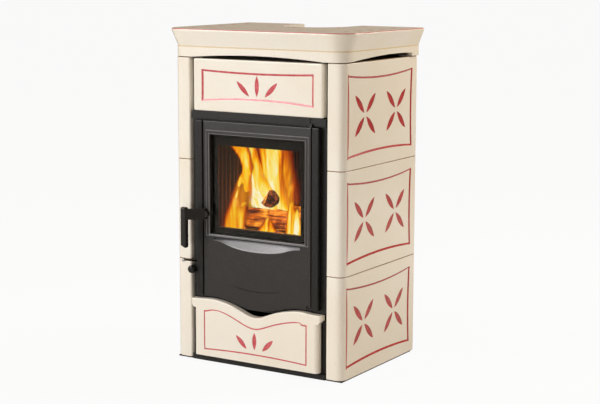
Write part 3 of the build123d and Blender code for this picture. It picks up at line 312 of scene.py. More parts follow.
hearth_iron, tree, shader = new_finish("hearth_iron", tone(62, 57, 53), 0.7, Metallic=0.25)
skin = effect(tree, skin_grain, Grain=420.0, Patches=14.0)
scale = blend(tree, spread(tree, skin["Patch"], 0.4, 0.65), tone(52, 49, 47), tone(84, 66, 54))
facing = tree.nodes.new("ShaderNodeNewGeometry").outputs["Normal"]
upward = maths(tree, "MULTIPLY", spread(tree, axes_of(tree, facing)[2], 0.6, 1.0), skin["Patch"])
ash_dust = maths(tree, "MULTIPLY", upward, 0.45)
feed(tree, shader.inputs["Base Color"], blend(tree, ash_dust, scale, tone(128, 120, 110)))
feed(tree, shader.inputs["Roughness"], spread(tree, skin["Height"], 0.3, 0.7, 0.6, 0.85))
bump(tree, shader, skin["Height"], 0.0006, 0.8)
dress(hearth_iron, "hob_plate", "flue_collar", "grate", "log_guard", "hearth_plate")

# ---- Firebox lining --------------------------------------------------------------------
# Pressed vermiculite slabs, fluted from top to bottom on the side of the fire. They start
# straw-coloured and turn brown, then black with soot towards the top, and painted shade
# darkens the hollows of the flutes.

chamber_side = 0.180
chamber_rear = 0.182
flute_depth = 0.0045
soot_low = 0.42
soot_high = 0.72

lining_skin, tree, shader = new_finish("lining_skin", tone(120, 70, 44), 0.9)
place = place_of(tree)
skin = effect(tree, skin_grain, Grain=300.0, Patches=9.0)
streaks = cloud(tree, stretched(tree, place, (38.0, 38.0, 2.2)), 1.0, 3.0, 0.6)
height = axes_of(tree, place)[2]
soot_and_flute_shade = spread(tree, height, soot_low, soot_high, 0.0, 0.6)
soot_and_flute_shade = maths(tree, "ADD", soot_and_flute_shade, maths(tree, "MULTIPLY", streaks, 0.9))
x, y, _ = axes_of(tree, place)
# Painted shade: the hollows of the flutes, sunk behind the chamber walls, are darkened.
side_flute_shade = spread(tree, maths(tree, "ABSOLUTE", x), chamber_side, chamber_side + flute_depth)
rear_flute_shade = spread(tree, y, chamber_rear, chamber_rear + flute_depth)
sunk = maths(tree, "MAXIMUM", side_flute_shade, rear_flute_shade)
soot_and_flute_shade = maths(tree, "ADD", soot_and_flute_shade, maths(tree, "MULTIPLY", sunk, 0.7))
burnt = blend(tree, skin["Patch"], tone(150, 84, 44), tone(104, 56, 32))
sooted_and_shaded = blend(tree, spread(tree, soot_and_flute_shade, 0.4, 1.1), burnt, tone(26, 16, 12))
feed(tree, shader.inputs["Base Color"], sooted_and_shaded)
bump(tree, shader, skin["Height"], 0.0008, 0.7)
dress(lining_skin, "lining_left", "lining_right", "lining_rear", "baffle")

# ---- Logs ------------------------------------------------------------------------------
# Split beech on the grate, well alight: bark on the round of each log, torn fibres on its
# split face, char on the ends and a glow where the flame licks the wood.

bark_ridge = 0.0032
fibre_ridge = 0.0020
end_tear = 0.006
end_roughness = 0.004
split_from = math.radians(91)
split_to = math.radians(221)
log_sides = 72
log_steps = 70
log_length = 0.240
log_radius = 0.034
top_log_length = 0.142
top_log_radius = 0.031
top_log_turn = -50


def ramp(tree, value, *stops):
    """Colours along a value from 0 to 1, each stop a position and a colour."""
    step = tree.nodes.new("ShaderNodeValToRGB")
    feed(tree, step.inputs["Fac"], value)
    band = step.color_ramp.elements
    for end in (0, -1):
        band[end].position, band[end].color = stops[end]
    for position, colour in stops[1:-1]:
        band.new(position).color = colour
    return step.outputs["Color"]


wood_brown = tone(70, 40, 22)
burning_wood, tree, shader = new_finish("burning_wood", wood_brown, 0.85, Emission_Strength=1.0)
grain = tree.nodes.new("ShaderNodeUVMap").outputs["UV"]
place = place_of(tree)
fibres = cloud(tree, stretched(tree, grain, (30.0, 2.4, 1.0)), 1.0, 4.0, 0.65, 0.6)
lumps = cloud(tree, place, 19.0, 3.0, 0.55, 0.4)
char = blend(tree, spread(tree, fibres, 0.35, 0.7), tone(22, 12, 8), tone(104, 52, 24))
feed(tree, shader.inputs["Base Color"], char)
lick = maths(tree, "ADD", lumps, maths(tree, "MULTIPLY", fibres, 0.7))
ember = ramp(
    tree,
    spread(tree, lick, 0.66, 1.06),
    (0.0, tone(16, 6, 3)),
    (0.3, tone(88, 36, 9)),
    (0.55, tone(184, 92, 16)),
    (0.8, tone(244, 158, 36)),
    (1.0, tone(255, 205, 84)),
)
feed(tree, shader.inputs["Emission Color"], ember)
bump(tree, shader, fibres, 0.003, 0.9)

charred_end, tree, shader = new_finish("charred_end", tone(26, 16, 12), 0.95, Emission_Strength=1.0)
place = place_of(tree)
cracks = tree.nodes.new("ShaderNodeTexVoronoi")
cracks.feature = "DISTANCE_TO_EDGE"
feed(tree, cracks.inputs["Vector"], place)
cracks.inputs["Scale"].default_value = 95.0
ash = cloud(tree, place, 60.0, 4.0, 0.6)
ashen = blend(tree, spread(tree, ash, 0.45, 0.75), tone(20, 12, 9), tone(92, 62, 44))
feed(tree, shader.inputs["Base Color"], ashen)
crack_glow = spread(tree, cracks.outputs["Distance"], 0.0, 0.06, 1.0, 0.0, smooth=True)
crack_glow = maths(tree, "MULTIPLY", crack_glow, spread(tree, ash, 0.4, 0.7))
glowing = blend(tree, crack_glow, tone(4, 1, 0), tone(224, 92, 20))
feed(tree, shader.inputs["Emission Color"], glowing)
bump(tree, shader, cracks.outputs["Distance"], 0.003, 1.0)


def split_log(node, length, radius, turn, seed):
    """A split log along X, turned about the upright, in the place of its CAD node."""
    low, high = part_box(node)
    middle = Vector(((low.x + high.x) / 2, (low.y + high.y) / 2, low.z + radius))
    flat_start = Vector((math.cos(split_from), math.sin(split_from)))
    flat_end = Vector((math.cos(split_to), math.sin(split_to)))
    points = []
    for j in range(log_steps + 1):
        x = (j / log_steps - 0.5) * length
        for i in range(log_sides):
            angle = 2 * math.pi * i / log_sides
            rim = Vector((math.cos(angle), math.sin(angle)))
            on_flat = split_from < angle < split_to
            if on_flat:
                rim = flat_start.lerp(flat_end, (angle - split_from) / (split_to - split_from))
            coarse = noise.fractal(Vector((x * 14, rim.x * 1.3, rim.y * 1.3 + seed)), 0.8, 2.1, 4)
            fine = noise.noise(Vector((x * 30, rim.x * 14, rim.y * 14 + seed)))
            ridge = fibre_ridge if on_flat else bark_ridge
            rim *= radius + ridge * (fine + 0.8 * coarse - 1.0)
            torn = end_tear * noise.noise(Vector((rim.x * 90, rim.y * 90, seed + x)))
            points.append((x + (torn if j in (0, log_steps) else 0.0), rim.x, rim.y))
    faces = [
        (
            j * log_sides + i,
            j * log_sides + (i + 1) % log_sides,
            (j + 1) * log_sides + (i + 1) % log_sides,
            (j + 1) * log_sides + i,
        )
        for j in range(log_steps)
        for i in range(log_sides)
    ]
    last_ring = log_steps * log_sides
    for first, outward in ((0, -1), (last_ring, 1)):
        ring = [Vector(p) for p in points[first : first + log_sides]]
        hub = sum(ring, Vector()) / log_sides
        for share in (0.6, 0.25):
            for k, rim in enumerate(ring):
                p = hub.lerp(rim, share)
                rough = end_roughness * noise.noise(p * 120 + Vector((seed, 0, 0)))
                points.append(p + Vector((rough, 0, 0)))
        points.append(hub)
        rings = [first, len(points) - 1 - 2 * log_sides, len(points) - 1 - log_sides]
        for outer, inner in zip(rings, rings[1:]):
            for i in range(log_sides):
                k = (i + 1) % log_sides
                faces.append((outer + k, outer + i, inner + i, inner + k)[::outward])
        for i in range(log_sides):
            k = (i + 1) % log_sides
            faces.append((rings[-1] + k, rings[-1] + i, len(points) - 1)[::outward])
    spin = Matrix.Rotation(math.radians(turn), 4, "Z")
    placed = [spin @ Vector(p) + middle for p in points]
    piece = mesh_piece(f"{node}_wood", placed, faces, burning_wood, smooth=True)
    piece.data.materials.append(charred_end)
    bark = log_steps * log_sides
    chart = piece.data.uv_layers.new(name="grain")
    for face in piece.data.polygons:
        face.material_index = int(face.index >= bark)
        for loop, corner in zip(face.loop_indices, face.vertices):
            around = (corner % log_sides) / log_sides
            along = corner // log_sides / log_steps
            chart.data[loop].uv = (around, along)
    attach(piece, "stove")
    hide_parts(node)


split_log("log_front", log_length, log_radius, turn=0, seed=3.0)
split_log("log_rear", log_length, log_radius, turn=0, seed=11.0)
split_log("log_top", top_log_length, top_log_radius, turn=top_log_turn, seed=23.0)

# ---- Ember bed -------------------------------------------------------------------------
# Lumps of charcoal that fell off the logs and glow on the hearth plate behind the guard,
# cracked like the burnt ends and dusted with ash where they have cooled.

bed_floor = 0.404
bed_side = 0.165
bed_front = -0.172
bed_rear = -0.108
bank_outer = -0.168
bank_inner = -0.152
bank_front = -0.150
bank_rear = -0.010
bed_lumps = 46
lump_small = 0.008
lump_large = 0.015
lump_swell = 1.0138
lump_rest = 0.6
bank_high = 3.0

coal, tree, shader = new_finish("coal", tone(30, 20, 16), 0.95, Emission_Strength=1.0)
place = place_of(tree)
heat = cloud(tree, place, 46.0, 3.0, 0.6, 0.3)
crust = cloud(tree, place, 150.0, 3.0, 0.6)
ashen = blend(tree, spread(tree, crust, 0.4, 0.7), tone(24, 15, 11), tone(120, 100, 86))
feed(tree, shader.inputs["Base Color"], ashen)
heat = maths(tree, "ADD", heat, maths(tree, "MULTIPLY", crust, 0.6))
coal_glow = ramp(
    tree,
    spread(tree, heat, 0.55, 1.05),
    (0.0, tone(20, 5, 2)),
    (0.3, tone(120, 38, 8)),
    (0.6, tone(232, 118, 18)),
    (1.0, tone(255, 206, 90)),
)
feed(tree, shader.inputs["Emission Color"], coal_glow)
bump(tree, shader, crust, 0.002, 0.9)

# Two lumps in three lie along the guard. The others are banked up by the left wall, with
# their middles lump_rest to bank_high of their own size above the plate.
toss = random.Random(7)
heap = bmesh.new()
for lump in range(bed_lumps):
    size = toss.uniform(lump_small, lump_large)
    if lump % 3:
        x = toss.uniform(-bed_side, bed_side)
        y = toss.uniform(bed_front, bed_rear)
        lift = lump_rest
    else:
        x = toss.uniform(bank_outer, bank_inner)
        y = toss.uniform(bank_front, bank_rear)
        lift = toss.uniform(lump_rest, bank_high)
    spot = Vector((x, y, bed_floor + lift * size))
    turn = Matrix.Rotation(toss.uniform(0, 6.28), 4, (toss.random(), toss.random(), 1.0))
    made = bmesh.ops.create_icosphere(heap, subdivisions=3, radius=size)
    for corner in made["verts"]:
        coarse = noise.noise(corner.co * 70 + Vector((lump, 0, 0)))
        fine = noise.noise(corner.co * 260)
        crack = 1.0 + 0.34 * coarse + 0.1 * fine
        corner.co = turn @ (corner.co * crack * lump_swell) + spot
        corner.co.z = max(corner.co.z, bed_floor)
coals = bpy.data.meshes.new("ember_bed")
heap.to_mesh(coals)
heap.free()
coals.materials.append(coal)
embers = bpy.data.objects.new("ember_bed", coals)
bpy.context.scene.collection.objects.link(embers)
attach(embers, "stove")

# ---- Flames ----------------------------------------------------------------------------
# Thin closed tongues of burning gas, near white at the heart and orange at the ragged,
# see-through edges. The tall ones lean to the left over the logs or stand by the walls, and
# the short ones lick round the ends and the front of the logs.

flame_across = 20
flame_up = 60


def flame_finish(name, warmth, cover):
    """Burning gas. warmth moves its colour towards white, cover makes it more solid."""
    black = tone(0, 0, 0)
    steady = {"Emission_Strength": 1.0, "Specular_IOR_Level": 0.0}
    finish, tree, shader = new_finish(name, black, 1.0, **steady)
    chart = tree.nodes.new("ShaderNodeUVMap").outputs["UV"]
    across, up, _ = axes_of(tree, chart)
    place = place_of(tree)
    streak = cloud(tree, stretched(tree, place, (34.0, 16.0, 4.2)), 1.0, 4.0, 0.5, 1.2)
    thread = cloud(tree, stretched(tree, place, (110.0, 50.0, 9.0)), 1.0, 2.0, 0.5, 0.8)
    off_middle = maths(tree, "SUBTRACT", maths(tree, "MULTIPLY", across, 2.0), 1.0)
    heart = maths(tree, "SUBTRACT", 1.0, maths(tree, "ABSOLUTE", off_middle))
    body = spread(tree, heart, 0.0, 0.6, smooth=True)
    flicker = maths(tree, "MULTIPLY", maths(tree, "SUBTRACT", streak, 0.5), 1.7)
    fine = maths(tree, "MULTIPLY", maths(tree, "SUBTRACT", thread, 0.5), 0.5)
    unrest = maths(tree, "ADD", flicker, fine)
    heat = maths(tree, "ADD", maths(tree, "MULTIPLY", body, 0.62), unrest)
    cooling = maths(tree, "MULTIPLY", spread(tree, up, 0.25, 1.0), 0.4)
    heat = maths(tree, "ADD", maths(tree, "SUBTRACT", heat, cooling), warmth, clamp=True)
    glow = ramp(
        tree,
        heat,
        (0.0, tone(128, 40, 6)),
        (0.22, tone(206, 88, 8)),
        (0.42, tone(246, 150, 8)),
        (0.62, tone(254, 204, 30)),
        (0.82, tone(255, 236, 124)),
        (1.0, tone(255, 250, 214)),
    )
    feed(tree, shader.inputs["Emission Color"], glow)
    frayed = maths(tree, "ADD", maths(tree, "MULTIPLY", heart, 2.2), unrest)
    top = spread(tree, up, 0.62, 1.0, 1.0, -0.6)
    foot = spread(tree, up, 0.0, 0.14)
    ends = maths(tree, "MULTIPLY", top, foot, clamp=True)
    reach = spread(tree, maths(tree, "MULTIPLY", frayed, ends), 0.02, 0.7, 0.0, cover, smooth=True)
    feed(tree, shader.inputs["Alpha"], reach)
    return finish


white_flame = flame_finish("white_flame", warmth=0.34, cover=1.0)
yellow_flame = flame_finish("yellow_flame", warmth=0.12, cover=1.0)
orange_flame = flame_finish("orange_flame", warmth=-0.16, cover=0.7)


def between(line, share):
    """Point on a smooth line through a few points, share 0 at the first and 1 at the last."""
    spot = share * (len(line) - 1)
    i = min(int(spot), len(line) - 2)
    t = spot - i
    a, b = line[max(i - 1, 0)], line[i]
    c, d = line[i + 1], line[min(i + 2, len(line) - 1)]
    point = []
    for p, q, r, w in zip(a, b, c, d):
        slope = r - p
        bend = 2 * p - 5 * q + 4 * r - w
        twist = 3 * q - p - 3 * r + w
        point.append(0.5 * (2 * q + slope * t + bend * t**2 + twist * t**3))
    return point


def tongue(name, finish, left, right, thickness, seed):
    """Flame between two edges, each a list of (x, y, z) in millimetres from foot to tip."""
    points, spots = [], []
    for side in (-1, 1):
        for j in range(flame_up + 1):
            v = j / flame_up
            a, b = Vector(between(left, v)), Vector(between(right, v))
            for i in range(flame_across + 1):
                u = i / flame_across
                belly = math.sin(math.pi * u) * (1 - v**3)
                sway = 8 * noise.noise(Vector((u * 2.5, v * 4, seed)))
                ripple = 5 * noise.noise(Vector((u * 6, v * 3, seed + 40)))
                point = a.lerp(b, u) + Vector((0, (sway + side * thickness / 2) * belly, ripple))
                points.append(point / 1000)
                spots.append((u, v))
    row = flame_across + 1
    back = (flame_up + 1) * row
    faces = []
    for j in range(flame_up):
        for i in range(flame_across):
            k = j * row + i
            faces.append((k, k + 1, k + 1 + row, k + row))
            faces.append((back + k + row, back + k + 1 + row, back + k + 1, back + k))
    for i in range(flame_across):
        top = flame_up * row + i
        faces.append((back + i, back + i + 1, i + 1, i))
        faces.append((top, top + 1, back + top + 1, back + top))
    for j in range(flame_up):
        for k in (j * row, j * row + flame_across):
            faces.append((k, k + row, back + k + row, back + k))
    piece = mesh_piece(name, points, faces, finish, smooth=True)
    chart = piece.data.uv_layers.new(name="flow")
    for face in piece.data.polygons:
        for loop, corner in zip(face.loop_indices, face.vertices):
            chart.data[loop].uv = spots[corner]
    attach(piece, "stove")


tongue(
    "flame_rear",
    orange_flame,
    left=[
        (-170, 20, 470), (-172, 20, 540), (-168, 20, 600), (-172, 20, 660), (-174, 20, 770),
    ],
    right=[
        (-10, 60, 470), (-12, 60, 540), (-34, 60, 610), (-44, 60, 680), (-60, 60, 770),
    ],
    thickness=30,
    seed=21,
)
tongue(
    "flame_right",
    yellow_flame,
    left=[
        (-150, 10, 445), (-140, 0, 490), (-126, -10, 530), (-124, -20, 582), (-122, -30, 628),
        (-120, -50, 690), (-122, -70, 730), (-124, -84, 780), (-126, -90, 820),
    ],
    right=[
        (26, -20, 440), (14, -22, 470), (-2, -26, 505), (-14, -30, 545), (-18, -36, 590),
        (-16, -42, 637), (-6, -50, 690), (-8, -66, 730), (-12, -84, 780), (-16, -90, 820),
    ],
    thickness=26,
    seed=14,
)
tongue(
    "flame_heart",
    white_flame,
    left=[
        (-176, -30, 460), (-172, -50, 500), (-160, -80, 540), (-148, -100, 576),
        (-128, -110, 608), (-126, -116, 640), (-138, -120, 668), (-150, -124, 700),
        (-156, -126, 740), (-160, -126, 780), (-164, -126, 820),
    ],
    right=[
        (-40, 16, 460), (-46, 0, 490), (-52, -30, 520), (-62, -50, 552), (-76, -60, 590),
        (-82, -70, 622), (-88, -76, 658), (-96, -80, 700), (-102, -82, 740), (-106, -84, 780),
        (-110, -86, 820),
    ],
    thickness=26,
    seed=3,
)
tongue(
    "flame_left",
    yellow_flame,
    left=[
        (-142, -166, 490), (-138, -160, 530), (-128, -152, 570), (-115, -143, 608),
        (-120, -142, 638), (-140, -150, 670), (-158, -155, 700), (-166, -156, 740),
        (-170, -150, 780), (-172, -140, 820),
    ],
    right=[
        (-96, -96, 490), (-98, -98, 540), (-100, -100, 580), (-92, -98, 616), (-96, -100, 650),
        (-108, -104, 690), (-112, -106, 730), (-114, -108, 780), (-116, -108, 820),
    ],
    thickness=10,
    seed=8,
)
tongue(
    "flame_side",
    orange_flame,
    left=[
        (-176, -184, 408), (-162, -180, 452), (-148, -175, 492), (-139, -168, 525),
        (-132, -160, 556), (-124, -150, 588), (-116, -145, 622),
    ],
    right=[
        (-108, -112, 408), (-106, -108, 450), (-102, -106, 490), (-100, -104, 520),
        (-102, -104, 556), (-104, -110, 588), (-108, -130, 622),
    ],
    thickness=8,
    seed=61,
)
tongue(
    "flame_far",
    yellow_flame,
    left=[
        (60, 100, 440), (60, 100, 500), (66, 94, 560), (74, 84, 620), (86, 66, 680),
        (100, 46, 750),
    ],
    right=[
        (162, -34, 440), (160, -30, 500), (158, -20, 560), (146, -6, 620), (134, 8, 680),
        (116, 24, 750),
    ],
    thickness=24,
    seed=71,
)
tongue(
    "flame_end",
    yellow_flame,
    left=[
        (98, -122, 408), (98, -120, 460), (104, -116, 520), (112, -110, 590), (122, -100, 680),
    ],
    right=[
        (168, -62, 408), (168, -62, 460), (164, -66, 520), (152, -74, 590), (134, -88, 680),
    ],
    thickness=14,
    seed=83,
)
tongue(
    "flame_ember",
    yellow_flame,
    left=[
        (35, -120, 405), (35, -118, 438), (38, -116, 473), (44, -114, 505), (52, -110, 548),
    ],
    right=[
        (100, -120, 405), (92, -118, 447), (80, -116, 480), (68, -114, 512), (56, -110, 548),
    ],
    thickness=14,
    seed=33,
)
tongue(
    "flame_tip",
    white_flame,
    left=[
        (66, -130, 405), (68, -128, 440), (73, -126, 475), (80, -124, 520),
    ],
    right=[
        (110, -130, 405), (102, -128, 440), (93, -126, 475), (85, -124, 520),
    ],
    thickness=10,
    seed=52,
)
tongue(
    "flame_low",
    yellow_flame,
    left=[
        (-74, -124, 402), (-66, -122, 424), (-50, -120, 446), (-34, -116, 476),
    ],
    right=[
        (20, -124, 402), (12, -122, 424), (-4, -120, 446), (-26, -116, 476),
    ],
    thickness=8,
    seed=47,
)

# ---- Front frame and door --------------------------------------------------------------
# Grey iron, sand-cast and brushed with matt stove paint: the frame with a rib beside each
# edge of the door, and the door with its moulding, scooped sill and scribed line. A painted
# highlight runs along the moulding and brightens the scoop towards the right, painted shade
# darkens the scribed line, and the frame is painted darker than the door as painted shade.

door_front = -0.232
edge_low = 0.36
edge_high = 0.746
edge_side = 0.19
sill_low = 0.370
sill_high = 0.4062
sill_side = 0.158
sill_depth = 0.0103
line_side = 0.190
line_low = 0.250
line_high = 0.270
line_half = 0.0014
moulding_from = 0.0003
moulding_to = 0.0013
fleck_grey = tone(88, 86, 88)
# Painted highlight tones for the moulding and the scoop, and painted shade for the scribed line.
moulding_highlight = tone(150, 148, 150)
scoop_highlight = tone(176, 175, 180)
scribed_line_shade = tone(8, 8, 8)


def inside(tree, value, low, high, soft=0.0002):
    """1 between two limits, 0 outside them."""
    rise = spread(tree, value, low - soft, low + soft)
    fall = spread(tree, value, high - soft, high + soft, 1.0, 0.0)
    return maths(tree, "MULTIPLY", rise, fall)


def product(tree, first, *others):
    """Masks multiplied into one."""
    for other in others:
        first = maths(tree, "MULTIPLY", first, other)
    return first


def iron(name, dark, light, shine):
    """Cast iron under stove paint, with painted highlights along the moulding and in the scoop and
    painted shade along the scribed line.
    """
    finish, tree, shader = new_finish(name, dark, 0.4, Specular_IOR_Level=shine)
    skin = effect(tree, skin_grain, Grain=420.0, Patches=9.0)
    paint = blend(tree, skin["Patch"], dark, light)
    paint = blend(tree, maths(tree, "MULTIPLY", skin["Fleck"], 0.5), paint, fleck_grey)
    x, y, z = axes_of(tree, place_of(tree))
    sunk = maths(tree, "SUBTRACT", y, door_front)
    # Painted highlight: a light grey line on the moulding edges, a little behind the door face.
    edge = product(
        tree,
        inside(tree, sunk, moulding_from, moulding_to, 0.0001),
        inside(tree, z, edge_low, edge_high),
        inside(tree, x, -edge_side, edge_side),
        spread(tree, skin["Height"], 0.3, 0.6, 0.3, 0.85),
    )
    # Painted highlight in the scoop, brighter towards the right.
    scoop = product(
        tree,
        inside(tree, z, sill_low, sill_high),
        inside(tree, x, -sill_side, sill_side),
        inside(tree, sunk, 0.0004, sill_depth),
        spread(tree, x, -sill_side, sill_side, 0.2, 1.0),
        spread(tree, skin["Height"], 0.3, 0.7, 0.6, 1.0),
    )
    paint_with_painted_light = blend(tree, scoop, paint, scoop_highlight)
    # Painted shade: a near-black line along the scribed line on the door face.
    swing = maths(tree, "COSINE", maths(tree, "MULTIPLY", x, math.pi / line_side))
    line = maths(tree, "SUBTRACT", spread(tree, swing, 1.0, -1.0, line_low, line_high), z)
    line = product(
        tree,
        inside(tree, line, -line_half, line_half, 0.0004),
        inside(tree, x, -line_side, line_side),
        inside(tree, sunk, -0.0002, 0.0002),
    )
    paint_with_painted_light = blend(tree, maths(tree, "MULTIPLY", line, 0.75), paint_with_painted_light, scribed_line_shade)
    feed(tree, shader.inputs["Base Color"], blend(tree, edge, paint_with_painted_light, moulding_highlight))
    rough = spread(tree, skin["Height"], 0.3, 0.7, 0.28, 0.44)
    rough = maths(tree, "ADD", rough, maths(tree, "MULTIPLY", line, 0.5))
    feed(tree, shader.inputs["Roughness"], rough)
    bump(tree, shader, skin["Height"], 0.0007, 0.8)
    return finish


dress(iron("door_iron", tone(22, 20, 19), tone(36, 34, 33), 0.8), "door")
# The frame wears a darker copy of the door's iron: painted shade for the recess it stands in.
dress(iron("shaded_frame_iron", tone(13, 13, 12), tone(24, 23, 22), 0.55), "front_frame")

# ---- Door glass ------------------------------------------------------------------------
# A pane of clear glass-ceramic with a faint amber cast. A matt black border is printed
# round it, and it lies on a flat woven gasket behind the opening of the door.

border_side = 0.150
border_low = 0.436
border_high = 0.695
print_thickness = 0.0001

faint_amber = tone(250, 244, 234)
pane, tree, shader = new_finish("pane", faint_amber, 0.02, Transmission_Weight=1.0, IOR=1.2)
smear = cloud(tree, stretched(tree, place_of(tree), (9.0, 9.0, 3.0)), 1.0, 4.0, 0.6)
feed(tree, shader.inputs["Roughness"], spread(tree, smear, 0.45, 0.8, 0.01, 0.07))
dress(pane, "door_glass")

enamel, tree, shader = new_finish("enamel", tone(16, 15, 14), 0.6, Specular_IOR_Level=0.1)
skin = effect(tree, skin_grain, Grain=1200.0, Patches=20.0)
mottle(tree, shader, skin, tone(12, 12, 11), tone(24, 22, 20))
low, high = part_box("door_glass")
outer = [(low.x, low.z), (high.x, low.z), (high.x, high.z), (low.x, high.z)]
inner = [
    (-border_side, border_low),
    (border_side, border_low),
    (border_side, border_high),
    (-border_side, border_high),
]
points = []
for y in (high.y + print_thickness, high.y + 2 * print_thickness):
    points += [(x, y, z) for x, z in outer + inner]
faces = []
for i in range(4):
    k = (i + 1) % 4
    faces += [(i, k, k + 4, i + 4), (i + 12, k + 12, k + 8, i + 8)]
    faces += [(k, i, i + 8, k + 8), (i + 4, k + 4, k + 12, i + 12)]
border = mesh_piece("glass_border", points, faces, enamel)
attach(border, "door")

woven, tree, shader = new_finish("woven", tone(58, 56, 54), 0.95)
place = place_of(tree)
weave = tree.nodes.new("ShaderNodeTexWave")
weave.bands_direction = "DIAGONAL"
feed(tree, weave.inputs["Vector"], place)
weave.inputs["Scale"].default_value = 380.0
weave.inputs["Distortion"].default_value = 1.5
thread = blend(tree, weave.outputs["Fac"], tone(34, 33, 32), tone(88, 85, 80))
feed(tree, shader.inputs["Base Color"], thread)
bump(tree, shader, weave.outputs["Fac"], 0.0006, 0.8)
dress(woven, "glass_gasket", "door_seal")

# ---- Handle, knob and air lever --------------------------------------------------------
# The bent handle is a smooth casting in satin black, the knob is turned from the same
# stock, and the lever of the secondary air is a blackened rod with a chromed ball.

satin_black, tree, shader = new_finish("satin_black", tone(30, 29, 28), 0.36)
skin = effect(tree, skin_grain, Grain=1100.0, Patches=30.0)
mottle(tree, shader, skin, tone(22, 21, 21), tone(40, 38, 36))
feed(tree, shader.inputs["Roughness"], spread(tree, skin["Patch"], 0.3, 0.7, 0.3, 0.45))
bump(tree, shader, skin["Height"], 0.0001, 0.5)
dress(satin_black, "handle", "primary_air_knob", "secondary_air_rod")

chrome, tree, shader = new_finish("chrome", tone(206, 206, 208), 0.1, Metallic=1.0)
skin = effect(tree, skin_grain, Grain=700.0, Patches=60.0)
feed(tree, shader.inputs["Roughness"], spread(tree, skin["Patch"], 0.35, 0.7, 0.06, 0.2))
dress(chrome, "secondary_air_ball")

# ---- Glazed tiles ----------------------------------------------------------------------
# Cast stoneware under a cream gloss glaze: three L-shaped tiles a side, one over the door
# and one on the drawer. The sloping edges of the panels, the petals and the drawer's line
# are cut into the clay and painted red; on the tiles to the front the red is painted paler
# as painted light, and painted shade darkens the joints between the side tiles.

tile_half_width = 0.307
tile_foot = 0.008
tile_pitch = 0.3188
panel_depth = 0.0025
petal_cut = 0.0008
side_front = -0.2065
side_rear = 0.2005
side_low = 0.034
side_high = 0.2855
top_tile_front = -0.229
top_side = 0.2035
top_low = 0.829
top_high = 0.931
drawer_tile_front = -0.243
drawer_side = 0.191
drawer_low = 0.044
drawer_high = 0.1775
joint_gap = 0.0006
joint_reach = 0.0024
cream = tone(248, 243, 232)
warm_cream = tone(244, 236, 220)
speck_brown = tone(168, 136, 98)
# Painted shade and dust in the joints between the side tiles.
joint_shade_brown = tone(150, 116, 70)
red = tone(196, 66, 68)
deep_red = tone(172, 46, 50)
# Paler reds for the tiles to the front: painted light, for the stronger light that falls on them.
lit_red = tone(218, 108, 114)
lit_deep_red = tone(196, 78, 86)

# What every glazed piece shares: slow waves, a drifting tint, and a few specks of iron.
glaze_skin, given, result = new_group(
    "glaze_skin", {"Waves": 18.0, "Drift": 3.0}, ("Height", "Tint", "Speck")
)
place = place_of(glaze_skin)
wavy = cloud(glaze_skin, place, given["Waves"], 2.0, 0.4)
peel = cloud(glaze_skin, place, 260.0, 1.0, 0.5)
peel = maths(glaze_skin, "MULTIPLY", peel, 0.05)
feed(glaze_skin, result["Height"], maths(glaze_skin, "ADD", wavy, peel))
feed(glaze_skin, result["Tint"], cloud(glaze_skin, place, given["Drift"], 3.0, 0.55))
specks = cloud(glaze_skin, place, 420.0, 0.0, 0.5)
feed(glaze_skin, result["Speck"], spread(glaze_skin, specks, 0.74, 0.8))


def glaze(name, painted, paints, pooled_glaze_and_shade=None, pool_and_shade_tone=None):
    """Cream glaze with the two tones of paints where painted says, and a third tone where the last
    mask says: painted shade and dust in the side tiles' joints, pooled glaze on the crown.
    """
    finish, tree, shader = new_finish(name, cream, 0.22, Coat_Weight=0.4, Coat_Roughness=0.08)
    place = place_of(tree)
    skin = effect(tree, glaze_skin)
    body = blend(tree, spread(tree, skin["Tint"], 0.35, 0.65), cream, warm_cream)
    body = blend(tree, maths(tree, "MULTIPLY", skin["Speck"], 0.35), body, speck_brown)
    if pooled_glaze_and_shade:
        body = blend(tree, pooled_glaze_and_shade(tree, place), body, pool_and_shade_tone)
    stroke = cloud(tree, place, 90.0, 3.0, 0.6)
    paint = blend(tree, spread(tree, stroke, 0.35, 0.65), *paints)
    feed(tree, shader.inputs["Base Color"], blend(tree, painted(tree, place), body, paint))
    feed(tree, shader.inputs["Roughness"], spread(tree, skin["Tint"], 0.3, 0.7, 0.18, 0.28))
    bump(tree, shader, skin["Height"], 0.0008, 0.35)
    return finish


def panel_paint(tree, depth):
    """The sloping edges of a sunk panel and the floors of its petals."""
    edge = inside(tree, depth, 0.0001, panel_depth - 0.0001, 0.00006)
    petal_floor = panel_depth + petal_cut
    petals = inside(tree, depth, petal_floor - 0.0002, petal_floor + 0.0002, 0.0001)
    return maths(tree, "ADD", edge, petals, clamp=True)


def side_ornament(tree, place):
    """Where the side tiles are red, the same on each row and on both sides."""
    x, y, z = axes_of(tree, place)
    depth = maths(tree, "SUBTRACT", tile_half_width, maths(tree, "ABSOLUTE", x))
    height = maths(tree, "MODULO", maths(tree, "SUBTRACT", z, tile_foot), tile_pitch)
    along = inside(tree, y, side_front, side_rear)
    up = inside(tree, height, side_low, side_high)
    return product(tree, panel_paint(tree, depth), along, up)


def front_ornament(tree, place):
    """Where the tile over the door is red."""
    x, y, z = axes_of(tree, place)
    depth = maths(tree, "SUBTRACT", y, top_tile_front)
    across = inside(tree, x, -top_side, top_side)
    up = inside(tree, z, top_low, top_high)
    return product(tree, panel_paint(tree, depth), across, up)


def drawer_ornament(tree, place):
    """Where the drawer tile is red: the floors of its cut line and petals."""
    x, y, z = axes_of(tree, place)
    depth = maths(tree, "SUBTRACT", y, drawer_tile_front)
    groove = inside(tree, depth, petal_cut - 0.0002, petal_cut + 0.0002, 0.0001)
    across = inside(tree, x, -drawer_side, drawer_side)
    up = inside(tree, z, drawer_low, drawer_high)
    return product(tree, groove, across, up)


